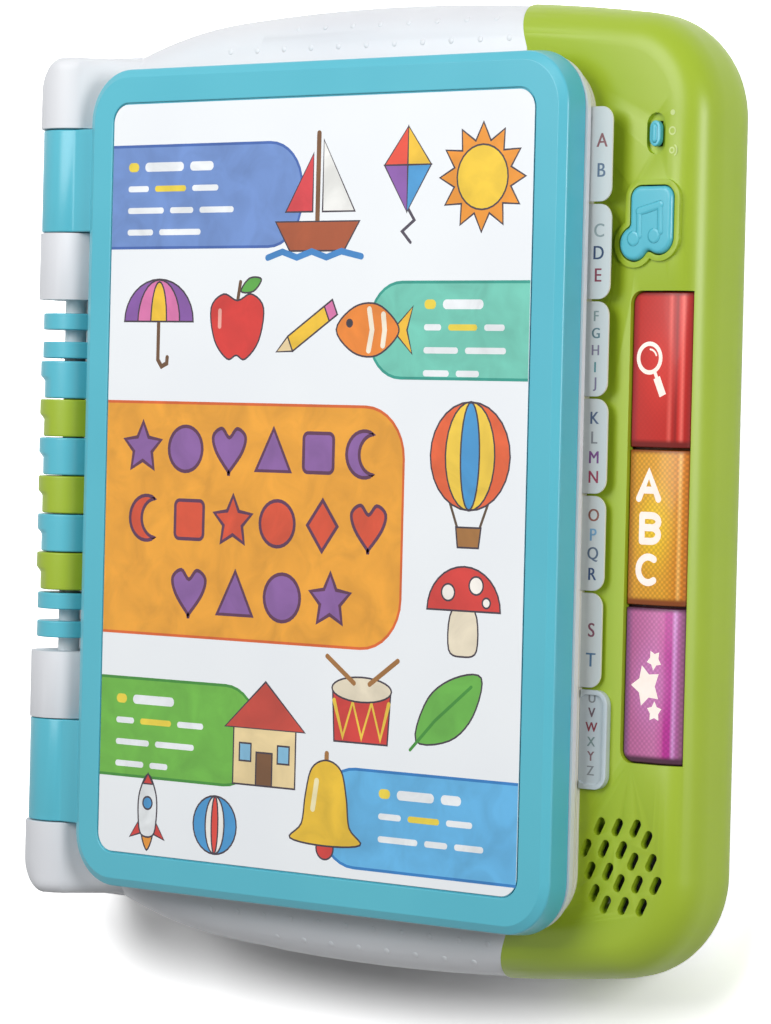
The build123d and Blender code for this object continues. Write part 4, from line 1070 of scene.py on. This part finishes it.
def letterOutlines(letter, size):
    # the filled letter as flat outlines, its middle at the origin
    curve = bpy.data.curves.new("letter", "FONT")
    curve.body = letter
    curve.size = size
    curve.resolution_u = tabLetters["refine"]
    holder = bpy.data.objects.new("letter", curve)
    bpy.context.scene.collection.objects.link(holder)
    bpy.context.view_layer.update()
    mesh = bpy.data.meshes.new_from_object(holder.evaluated_get(bpy.context.evaluated_depsgraph_get()))
    bpy.data.objects.remove(holder)
    xs, ys = [v.co.x for v in mesh.vertices], [v.co.y for v in mesh.vertices]
    x, y = (min(xs) + max(xs)) / 2, (min(ys) + max(ys)) / 2
    return [[(xs[i] - x, ys[i] - y) for i in face.vertices] for face in mesh.polygons]


letterScale = 0.5 / max(y for outline in letterOutlines("H", 1.0) for x, y in outline)


def makeTabLetters():
    groups = tabLetters["groups"]
    padLow, padHigh = span("last_tab")
    pitch = padHigh.y - padLow.y - tabLetters["padGap"]
    for number, group in enumerate(groups):
        onLeaf = number < len(groups) - 1
        name = f"leaf_{number + 1}" if onLeaf else "last_tab"
        middle = padHigh.y + pitch * (len(groups) - 1.5 - number) + tabLetters["shift"][number]
        surface = span(name)[1].z if onLeaf else padLow.z + tabLetters["padFloor"]
        step, size = tabLetters["pitch"][len(group)], tabLetters["height"][len(group)] * letterScale
        sheet = Sheet()
        for i, letter in enumerate(group):
            y = middle + ((len(group) - 1) / 2 - i) * step
            for strike, side in enumerate((-0.5, 0.5)):
                x = tabLetters["x"][number] + side * tabLetters["struck"]
                outlines = letterOutlines(letter, size)
                sheet.lay([[(x + px, y + py) for px, py in outline] for outline in outlines],
                          tabLetters["colours"][letter], strike)
        ride(sheet.build(f"tabLetters{group[0]}to{group[-1]}", surface, ink), bodyOf[name], "tab_grey")


makeTabLetters()
print("letters ready")


# Signs on the light buttons

signs = {
    "lens": (101.0, 36.5, 3.6, 1.15),       # middle, radius and width of the ring
    "lensTall": 1.05,
    "neck": ((102.5, 33.5), (103.6, 31.1)),
    "neckWide": 1.0,
    "handle": ((103.45, 31.4), (105.6, 26.7)),
    "handleWide": 2.2,
    "glint": (0.64, 20, 85, 0.5),           # share of the radius, from, to and width
    "letters": {"A": (101.8, 2.9), "B": (102.4, -8.2), "C": (101.8, -19.1)},
    "letterHigh": 8.6,
    "letterWide": 8.2,
    "bold": 1.85,
    "stars": ((102.5, -49.6, 5.6, 180), (104.9, -42.7, 2.8, 265), (105.3, -56.3, 2.8, 90)),
    "starWide": 0.88,
    "starInner": 0.57,
    "colour": "#ffffff",
}
signGlow = litSign("whitePadPrintLit", "#ffe9dc", 0.12)


def boldLetter(letter):
    # three round-ended letters drawn with a broad pen, in a box 1 wide and 1 high about the origin
    if letter == "A":
        return [[(-0.5, -0.5), (0, 0.5), (0.5, -0.5)], [(-0.3, -0.16), (0.3, -0.16)]]
    if letter == "B":
        lines = [[(-0.4, -0.5), (-0.4, 0.5)]]
        for y, tall in ((0.26, 0.66), (-0.24, 0.74)):
            bowl = circlePoints(0.08, y, 0.36, 10, -90, 90, tall)
            lines.append([(-0.4, bowl[0][1]), *bowl, (-0.4, bowl[-1][1])])
        return lines
    return [circlePoints(0.06, 0, 0.5, 18, 55, 305)]


def makeLensSign():
    x, y, radius, width = signs["lens"]
    share, start, end, glintWide = signs["glint"]
    ring = circlePoints(x, y, radius, 36, tall=signs["lensTall"])
    sheet = Sheet()
    for layer, outlines in enumerate((strokeQuads(ring, width, True),
                                      strokeQuads(signs["neck"], signs["neckWide"]),
                                      strokeQuads(signs["handle"], signs["handleWide"]))):
        sheet.lay(outlines, signs["colour"], layer)
    sheet.lay(roundStroke(circlePoints(x, y, radius * share, 8, start, end), glintWide), signs["colour"], 0)
    return sheet


def makeLettersSign():
    sheet = Sheet()
    wide, high = signs["letterWide"] - signs["bold"], signs["letterHigh"] - signs["bold"]
    for letter, (x, y) in signs["letters"].items():
        for layer, line in enumerate(boldLetter(letter)):
            points = [(x + px * wide, y + py * high) for px, py in line]
            sheet.lay(roundStroke(points, signs["bold"]), signs["colour"], layer)
    return sheet


def makeStarsSign():
    sheet = Sheet()
    for x, y, radius, turn in signs["stars"]:
        star = starPoints(x, y, radius, turn, signs["starInner"])
        sheet.lay([[(x + (px - x) * signs["starWide"], py) for px, py in star]], signs["colour"])
    return sheet


def makeSigns():
    top = span("search_button")[1].z
    ride(makeLensSign().build("lensSign", top, signGlow), "search_button", "red_clear")
    ride(makeLettersSign().build("lettersSign", top, signGlow), "letters_button", "amber_clear")
    ride(makeStarsSign().build("starsSign", top, signGlow), "stars_button", "purple_clear")


makeSigns()
print("signs ready")


# Marks beside the switch

switchMarks = {
    # each ring's height, radius, from and to
    "lines": ((96.0, 0.95, 0, 360), (90.9, 0.7, 0, 360), (90.9, 1.6, -60, 60)),
    "x": 107.3, "dot": (100.8, 0.75), "width": 0.42, "colour": "#cbdc8c",
}


def makeSwitchMarks():
    x, colour = switchMarks["x"], switchMarks["colour"]
    sheet = Sheet()
    sheet.lay([circlePoints(x, *switchMarks["dot"], 16)], colour, 0)
    for y, radius, start, end in switchMarks["lines"]:
        ring = circlePoints(x, y, radius, 20, start, end)
        sheet.lay(strokeQuads(ring, switchMarks["width"], end == 360), colour, 0)
    ride(sheet.build("switchMarks", span("last_page")[0].z, ink), "root", "green_abs")


makeSwitchMarks()


# Pictures for the printed cards, each in a box about 20 wide and 20 high

pictures = {
    "sun": (
        ("star", "#f29a2e", (0, 0, 9.8, 0, 0.68, 12)),
        ("disc", "#f8cf3a", (0, 0, 5.8, 1))),
    "boat": (
        ("line", "#7a5230", ((0, -4), (0, 9.5)), 0.9),
        ("poly", "#f4f4f0", ((1, 8.5), (7.5, -2.5), (1, -2.5))),
        ("poly", "#d8434a", ((-1, 6.5), (-6.5, -2.5), (-1, -2.5))),
        ("poly", "#a8532f", bothSides((8.5, -4), (5.5, -8.5))),
        ("line", "#3f86c8",
         ((-10, -9.5), (-7, -8.6), (-4, -9.5), (-1, -8.6), (2, -9.5), (5, -8.6), (9, -9.4)), 1.0)),
    "kite": (
        ("line", "#4b4453", ((0, -5), (1.8, -7.5), (-1, -9.5), (1, -11.5)), 0.6),
        ("poly", "#e8503c", ((0, 9.5), (0, 2.5), (-5.5, 2.5))),
        ("poly", "#f4c63a", ((0, 9.5), (5.5, 2.5), (0, 2.5))),
        ("poly", "#4a9bd4", ((0, 2.5), (5.5, 2.5), (0, -6))),
        ("poly", "#8a5aa8", ((0, 2.5), (0, -6), (-5.5, 2.5)))),
    "umbrella": (
        ("line", "#6a4a30", ((0, 1), (0, -7.5), (1, -8.8), (2.4, -8.2), (2.5, -7)), 0.9),
        ("arc", "#8a5aa8", (0, 0, 9.2, 0.9)),
        ("arc", "#e07ab0", (0, 0, 5.6, 1.46)),
        ("arc", "#f4c63a", (0, 0, 2.1, 3.7))),
    "apple": (
        ("line", "#6a4a30", ((0, 4), (0.8, 8.6)), 0.9),
        ("soft", "#d93a34", bothSides((0, 4.6), (4, 6), (7.6, 3), (6.4, -4), (2.6, -8), (0, -7.2))),
        ("soft", "#5aa845", ((1, 6.6), (3.4, 9.4), (6.8, 9.2), (4.6, 6.6))),
        ("line", "#f7b0a4", ((-5, 2.4), (-5, -1)), 1.0)),
    "balloon": (
        ("line", "#5a4632", ((-3.8, -3.6), (-2, -8)), 0.45),
        ("line", "#5a4632", ((3.8, -3.6), (2, -8)), 0.45),
        ("disc", "#e8663a", (0, 3, 7.6, 1.06)),
        ("disc", "#f6d04a", (0, 3, 4.7, 1.72)),
        ("disc", "#4a9bd4", (0, 3, 1.8, 4.45)),
        ("poly", "#a8743c", bothSides((2.4, -7.6), (2, -10.6)))),
    "mushroom": (
        ("soft", "#f2e6cc", ((-2.6, 0), (2.6, 0), (3.2, -7), (0, -8.2), (-3.2, -7))),
        ("arc", "#d8403a", (0, 0, 8.4, 0.94)),
        ("disc", "#fdf8f0", (-3.6, 3.2, 1.5, 1)),
        ("disc", "#fdf8f0", (2.8, 4.6, 1.6, 1)),
        ("disc", "#fdf8f0", (5.2, 1.6, 0.9, 1))),
    "drum": (
        ("poly", "#d8403a", bothSides((7.4, 3), (6.8, -7))),
        ("line", "#f6d04a", ((-7, 1), (-4.6, -6), (-2.2, 1), (0.2, -6), (2.6, 1), (5, -6), (7, 1)), 0.9),
        ("disc", "#f2e6cc", (0, 3.4, 7.6, 0.32)),
        ("line", "#a8743c", ((-9, 9.5), (-2, 4.6)), 1.0),
        ("line", "#a8743c", ((9, 9.5), (2, 4.6)), 1.0)),
    "tree": (
        ("poly", "#9a6436", bothSides((1.8, -2), (2.6, -9.5))),
        ("soft", "#58a548", bothSides((0, 10), (5, 8), (8.4, 4), (7, -1), (2.6, -2.6))),
        ("disc", "#e0483c", (-3.4, 4.4, 1.2, 1)),
        ("disc", "#e0483c", (3.2, 5.6, 1.2, 1)),
        ("disc", "#e0483c", (1.6, 0.8, 1.2, 1))),
    "fish": (
        ("poly", "#f6c23a", ((5, 0), (10, 4.6), (8.6, 0), (10, -4.6))),
        ("soft", "#f08a34", ((-9.4, 0), (-5, 4.4), (1, 5), (6, 1.4), (6, -1.4), (1, -5), (-5, -4.4))),
        ("line", "#fdf2dc", ((-1, 4), (-0.2, 0), (-1, -4)), 1.2),
        ("line", "#fdf2dc", ((2.6, 3), (3, 0), (2.6, -3)), 1.2),
        ("disc", "#2c2a36", (-6, 1.3, 0.7, 1))),
    "house": (
        ("poly", "#f4dca6", bothSides((7, 1.6), (7, -8.6))),
        ("poly", "#c8483a", bothSides((0, 9), (9, 1))),
        ("poly", "#7a5230", bothSides((1.8, -3), (1.8, -8.6))),
        ("poly", "#8ac4e4", ((-5.6, -4.6), (-3, -4.6), (-3, -1.6), (-5.6, -1.6))),
        ("poly", "#8ac4e4", ((3, -4.6), (5.6, -4.6), (5.6, -1.6), (3, -1.6)))),
    "rocket": (
        ("soft", "#f4a03a", ((-2, -6), (0, -10.6), (2, -6))),
        ("poly", "#d8403a", ((-2.6, -2), (-6.4, -7.4), (-2, -6))),
        ("poly", "#d8403a", ((2.6, -2), (6.4, -7.4), (2, -6))),
        ("soft", "#eef2f4", bothSides((0, 10), (3, 5), (3.4, -1), (2.2, -6.4))),
        ("disc", "#4a9bd4", (0, 2.2, 1.7, 1)),
        ("poly", "#d8403a", ((-1.8, 7.4), (0, 10.2), (1.8, 7.4)))),
    "pencil": (
        ("poly", "#f2d9a8", ((-10, -4.4), (-5, -4.2), (-6.6, -0.8))),
        ("poly", "#f4c63a", ((-5, -4.2), (6, 2.8), (4.4, 6.2), (-6.6, -0.8))),
        ("poly", "#e07ab0", ((6, 2.8), (8.4, 4.3), (6.8, 7.7), (4.4, 6.2)))),
    "bell": (
        ("line", "#a8743c", ((0, 8.4), (0, 10)), 1.0),
        ("disc", "#d8403a", (0, -6.8, 2.0, 1)),
        ("soft", "#f2c63a", bothSides((0, 8.8), (3.4, 7.2), (4.8, 2.4), (5.6, -2.8), (8.2, -5.6), (0, -6.4))),
        ("line", "#fdf2c0", ((-2.2, 5), (-3, 0)), 1.1)),
    "ball": (
        ("disc", "#4a9bd4", (0, 0, 7.8, 1)),
        ("disc", "#f6f4ee", (0, 0, 3.4, 2.28)),
        ("disc", "#e0483c", (0, 0, 1.2, 6.4))),
    "leaf": (
        ("soft", "#6ab54a", ((-8, -6), (-5, 3), (2, 7.6), (9, 8), (7, 0), (1, -5.4))),
        ("line", "#3f8f34", ((-9.5, -8), (-3, -1.5), (6.4, 6)), 0.7)),
}


def pictureOutline(kind, given):
    if kind == "poly":
        return given
    if kind == "soft":
        return smoothPoints(given)
    if kind == "star":
        return starPoints(*given)
    x, y, radius, tall = given
    if kind == "disc":
        return circlePoints(x, y, radius, 28, tall=tall)
    return circlePoints(x, y, radius, 16, 0, 180, tall)


def drawPicture(sheet, name, x, y, size):
    for kind, colour, given, *width in pictures[name]:
        outline = given if kind == "line" else pictureOutline(kind, given)
        placed = [(x + px * size, y + py * size) for px, py in outline]
        if kind == "line":
            sheet.stroke(placed, colour, width[0] * size)
        else:
            sheet.fill(placed, colour)


def shapeOutline(kind, x, y, size):
    # simple bold shapes, all of one size
    if kind == "disc":
        return circlePoints(x, y, size, 28)
    if kind == "star":
        return starPoints(x, y, size * 1.15, 90, 0.5)
    if kind == "square":
        half = size * 0.85
        return boxPoints(x - half, x + half, y - half, y + half, 1.6)
    if kind == "moon":
        return circlePoints(x, y, size, 20, 60, 300) \
            + circlePoints(x + size * 0.58, y, size * 0.87, 16, 264, 96)
    if kind == "triangle":
        outline = bothSides((0, 1), (1, -0.85))
    elif kind == "diamond":
        outline = bothSides((0, 1.1), (0.85, 0), (0, -1.1))
    else:
        outline = smoothPoints(bothSides((0, 0.55), (0.45, 0.95), (0.95, 0.6), (0.75, -0.1), (0.02, -0.95)))
    return [(x + size * px, y + size * py) for px, py in outline]


def drawPanel(sheet, side, reach, low, high, radius, colour, line, edge):
    # a band that runs off the card at its left (-1) or right (1) and ends round on the card
    middle = reach + side * radius
    corners = [(middle, low + radius), (middle, high - radius)]
    if side < 0:
        round1, round2 = (circlePoints(*corner, radius, 8, start, start + 90)
                          for corner, start in zip(corners, (270, 0)))
        path = [(edge, low), *round1, *round2, (edge, high)]
    else:
        round1, round2 = (circlePoints(*corner, radius, 8, start, start + 90)
                          for corner, start in zip(reversed(corners), (90, 180)))
        path = [(edge, high), *round1, *round2, (edge, low)]
    sheet.fill(path, colour, "none")
    sheet.lay(strokeQuads(path, printed["panelLine"]), line)


bars = {
    "step": 6.2, "gap": 2.4,
    "thick": 1.7, "firstThick": 2.6,
    "roundness": 0.49,          # share of the thickness
    "pale": "#f4f8fb", "accent": "#f2d84a",
}


def drawBars(sheet, x, y, rows):
    # rows of short rounded bars where a card has its lines of print, the first one bolder
    for number, row in enumerate(rows):
        start, middle = x, y - number * bars["step"]
        thick = bars["firstThick"] if number == 0 else bars["thick"]
        for place, width in enumerate(row):
            accented = (number, place) in ((0, 0), (1, 1))
            bar = boxPoints(start, start + width, middle - thick / 2, middle + thick / 2,
                            thick * bars["roundness"])
            sheet.lay([bar], bars["accent"] if accented else bars["pale"])
            start += width + bars["gap"]


panelColours = {
    "blue": ("#7192cf", "#4367b0"), "teal": ("#74ccb8", "#2f9c8c"), "orange": ("#f2a838", "#e0682f"),
    "green": ("#70ba46", "#3f8f34"), "sky": ("#66b8ea", "#2f7fc4"), "pink": ("#e08ab8", "#b84a86"),
}
coverArt = {
    "inset": 0.06,      # the print stops this far inside the card's edge
    # side it runs off, where it ends, low, high, end radius, colours
    "panels": (
        (-1, -8.0, 66.0, 95.0, 12.0, "blue"), (1, 18.0, 30.0, 56.0, 11.0, "teal"),
        (-1, 31.0, -44.0, 22.0, 14.0, "orange"), (-1, -20.0, -85.0, -57.0, 12.0, "green"),
        (1, 4.0, -104.0, -77.0, 12.5, "sky")),
    # start, first row, and each row's widths
    "bars": (
        (-74.0, 89.0, ((4, 15, 9), (8, 12, 10), (14, 9, 13), (10, 16))),
        (37.0, 50.0, ((4, 14), (6, 10, 7), (12, 14), (9, 8))),
        (-74.0, -63.0, ((4, 16), (7, 12, 10), (13, 15), (11, 7))),
        (25.0, -83.0, ((4, 13, 7), (8, 11, 9), (14, 8, 10)))),
    # row, start, pitch, size, colour
    "shapes": (
        (9.0, -66.0, 16.6, 6.4, "#8d62a4", ("star", "disc", "heart", "triangle", "square", "moon")),
        (-11.0, -64.0, 16.6, 6.4, "#dd5436", ("moon", "square", "star", "disc", "diamond", "heart")),
        (-31.5, -47.0, 17.6, 6.6, "#8d62a4", ("heart", "triangle", "disc", "star"))),
    "shapeLine": "#5b2f50",
    # place and size
    "pictures": (
        ("sun", 56, 84, 1.5), ("boat", -2, 80, 1.8), ("kite", 30, 84, 1.5), ("umbrella", -61, 45, 1.45),
        ("apple", -31, 45, 1.3), ("pencil", -4, 42, 1.2), ("fish", 19, 43, 1.4), ("balloon", 54, 4, 1.8),
        ("mushroom", 53, -32, 1.5), ("house", -17, -70, 1.65), ("drum", 18, -60, 1.4),
        ("leaf", 48, -60, 1.3), ("rocket", -61, -94.6, 1.05), ("ball", -35, -96.5, 1.05),
        ("bell", 6, -89, 1.55)),
}


def makeCoverArt():
    sheet = Sheet()
    inset = cover["cardGap"] + coverArt["inset"]
    edges = {-1: cover["windowLeft"] + inset, 1: cover["windowRight"] - inset}
    for *panel, colours in coverArt["panels"]:
        drawPanel(sheet, *panel, *panelColours[colours], edges[panel[0]])
    for x, y, rows in coverArt["bars"]:
        drawBars(sheet, x, y, rows)
    for y, start, pitch, size, colour, kinds in coverArt["shapes"]:
        for i, kind in enumerate(kinds):
            sheet.fill(shapeOutline(kind, start + i * pitch, y, size), colour, coverArt["shapeLine"],
                       printed["shapeLine"])
    for name, x, y, size in coverArt["pictures"]:
        drawPicture(sheet, name, x, y, size)
    ride(sheet.build("coverArt", span("cover_insert")[1].z, ink), "cover", "cover_print")


makeCoverArt()
print("cover art ready")


# The pages: each face has two bands, a few rows of bars and six pictures

pageArt = {
    # side it runs off, the page's edge there, where it ends, low, and where its bars start
    "bands": ((-1, -84.0, -10, 34.0, -76), (1, 78.0, 4, -62.0, 22)),
    "bandHigh": 28, "bandRound": 12, "barsUp": 22,
    "bars": ((4, 16), (8, 12, 10), (14, 15), (10, 8)),
    "spots": ((-56, 78), (48, 62), (-52, 12), (10, 22), (52, -12), (-8, -78)),
    "size": 1.5,
    "nextFace": 5, "nextSpot": 7,       # steps through the list of pictures
}


def makePageArt(number, name, side):
    names, colours = list(pictures), list(panelColours.values())
    sheet = Sheet()
    for k, (bandSide, edge, reach, low, barsX) in enumerate(pageArt["bands"]):
        drawPanel(sheet, bandSide, reach, low, low + pageArt["bandHigh"], pageArt["bandRound"],
                  *colours[(number * 2 + k) % len(colours)], edge)
        drawBars(sheet, barsX, low + pageArt["barsUp"], pageArt["bars"])
    for k, (x, y) in enumerate(pageArt["spots"]):
        picture = names[(number * pageArt["nextFace"] + k * pageArt["nextSpot"]) % len(names)]
        drawPicture(sheet, picture, x, y, pageArt["size"])
    low, high = span(name)
    if side > 0:
        art = sheet.build(f"{name}Art", high.z, ink)
    else:
        # seen from behind, so left and right change places
        both = sum(band[1] for band in pageArt["bands"])
        art = sheet.build(f"{name}Art" + ("Back" if name != "cover_liner" else ""), low.z, ink, -1, both)
    ride(art, bodyOf[name], slotOf[name])


def makePages():
    faces = [("last_page", 1)]
    for number in range(leaves["count"]):
        faces += [(f"leaf_{number + 1}", 1), (f"leaf_{number + 1}", -1)]
    faces.append(("cover_liner", -1))
    for number, (name, side) in enumerate(faces):
        makePageArt(number, name, side)


makePages()
print("pages ready")


# Grip dots: two rows of small domes on the white casing's bowed edge

gripDots = {
    "rows": ((-49.2, 122.5, 11), (-24.6, 128.2, 8)),    # start x, y and number
    "from": 60,                 # the height that the points drop from
    "pitch": 10.14, "radius": 0.88, "flat": 0.3, "refine": 3,
}


def pieceTree(name, source, inputs):
    # a geometry tree with its input and output nodes, and each named input's identifier
    tree = bpy.data.node_groups.new(name, "GeometryNodeTree")
    tree.interface.new_socket(source, in_out="INPUT", socket_type="NodeSocketGeometry")
    keys = {}
    for label, kind in inputs.items():
        socket = tree.interface.new_socket(label, in_out="INPUT", socket_type=f"NodeSocket{kind}")
        keys[label] = socket.identifier
    tree.interface.new_socket("Geometry", in_out="OUTPUT", socket_type="NodeSocketGeometry")
    return tree, tree.nodes.new("NodeGroupInput"), tree.nodes.new("NodeGroupOutput"), keys


def repeated(name, base, tree, keys, values):
    # the tree's result as a plain mesh, its inputs set before it is first worked out
    thing = addObject(name, base)
    modifier = thing.modifiers.new(name, "NODES")
    modifier.node_group = tree
    for label, value in values.items():
        modifier[keys[label]] = value
    return applied(thing)


def makeGripDots():
    tree, given, result, keys = pieceTree("gripDots", "Casing", {
        "Pitch": "Float", "Radius": "Float", "Flat": "Float"})
    step = addNode(tree, "ShaderNodeCombineXYZ", {"X": given.outputs["Pitch"]})
    joined = addNode(tree, "GeometryNodeJoinGeometry")
    for x, y, count in gripDots["rows"]:
        for side in (1, -1):
            row = addNode(tree, "GeometryNodeMeshLine", {
                "Count": count, "Offset": step,
                "Start Location": (x * mm, side * y * mm, gripDots["from"] * mm)})
            tree.links.new(row.outputs[0], joined.inputs[0])
    # each point drops straight down onto the casing and keeps the slope it finds there
    drop = addNode(tree, "GeometryNodeRaycast", {"Target Geometry": given.outputs["Casing"],
                                                 "Ray Direction": (0, 0, -1), "Ray Length": 1.0})
    kept = addNode(tree, "GeometryNodeStoreNamedAttribute", {
        "Geometry": joined, "Name": "slope", "Value": drop.outputs["Hit Normal"]},
        data_type="FLOAT_VECTOR", domain="POINT")
    landed = addNode(tree, "GeometryNodeSetPosition", {"Geometry": kept,
                                                       "Position": drop.outputs["Hit Position"]})
    slope = addNode(tree, "GeometryNodeInputNamedAttribute", {"Name": "slope"}, data_type="FLOAT_VECTOR")
    tilt = addNode(tree, "FunctionNodeAlignEulerToVector", {"Vector": slope}, axis="Z")
    squash = addNode(tree, "ShaderNodeCombineXYZ", {"X": 1.0, "Y": 1.0, "Z": given.outputs["Flat"]})
    dome = addNode(tree, "GeometryNodeMeshIcoSphere", {"Radius": given.outputs["Radius"],
                                                       "Subdivisions": gripDots["refine"]})
    spread = addNode(tree, "GeometryNodeInstanceOnPoints", {
        "Points": landed, "Instance": dome.outputs["Mesh"], "Rotation": tilt, "Scale": squash})
    whole = addNode(tree, "GeometryNodeRealizeInstances", {"Geometry": spread})
    smooth = addNode(tree, "GeometryNodeSetShadeSmooth", {0: whole})
    coloured = addNode(tree, "GeometryNodeSetMaterial", {"Geometry": smooth,
                                                         "Material": finishes["white_abs"]})
    tree.links.new(coloured.outputs[0], result.inputs[0])
    casing = bpy.data.objects["whiteCasingShell"].data.copy()
    dots = repeated("gripDots", casing, tree, keys, {
        "Pitch": gripDots["pitch"] * mm, "Radius": gripDots["radius"] * mm, "Flat": gripDots["flat"]})
    ride(dots, "root", "white_abs")


makeGripDots()
print("grip dots ready")


# Thumb ribs on the battery door: low half-round bars that it is pushed open by

doorRibs = {"count": 6, "pitch": 2.4, "from": 13.0, "long": 18.0, "radius": 0.7, "sides": 24}


def makeDoorRibs():
    tree, given, result, keys = pieceTree("doorRibs", "Geometry", {
        "Count": "Int", "Pitch": "Float", "Radius": "Float", "Long": "Float", "Start": "Vector"})
    step = addNode(tree, "ShaderNodeCombineXYZ", {"Y": given.outputs["Pitch"]})
    places = addNode(tree, "GeometryNodeMeshLine", {
        "Count": given.outputs["Count"], "Start Location": given.outputs["Start"], "Offset": step})
    bar = addNode(tree, "GeometryNodeMeshCylinder", {
        "Vertices": doorRibs["sides"], "Radius": given.outputs["Radius"], "Depth": given.outputs["Long"]})
    bars = addNode(tree, "GeometryNodeInstanceOnPoints", {
        "Points": places, "Instance": bar, "Rotation": (0, math.pi / 2, 0)})
    whole = addNode(tree, "GeometryNodeRealizeInstances", {"Geometry": bars})
    slotName = slotOf["battery_door"]
    coloured = addNode(tree, "GeometryNodeSetMaterial", {"Geometry": whole, "Material": finishes[slotName]})
    tree.links.new(coloured.outputs[0], result.inputs[0])
    low, high = span("battery_door")
    ribs = repeated("doorRibs", bpy.data.meshes.new("doorRibs"), tree, keys, {
        "Count": doorRibs["count"], "Pitch": doorRibs["pitch"] * mm, "Radius": doorRibs["radius"] * mm,
        "Long": doorRibs["long"] * mm,
        "Start": Vector(((low.x + high.x) / 2, doorRibs["from"], low.z)) * mm})
    ride(ribs, "root", slotName)


makeDoorRibs()
print("door ribs ready")
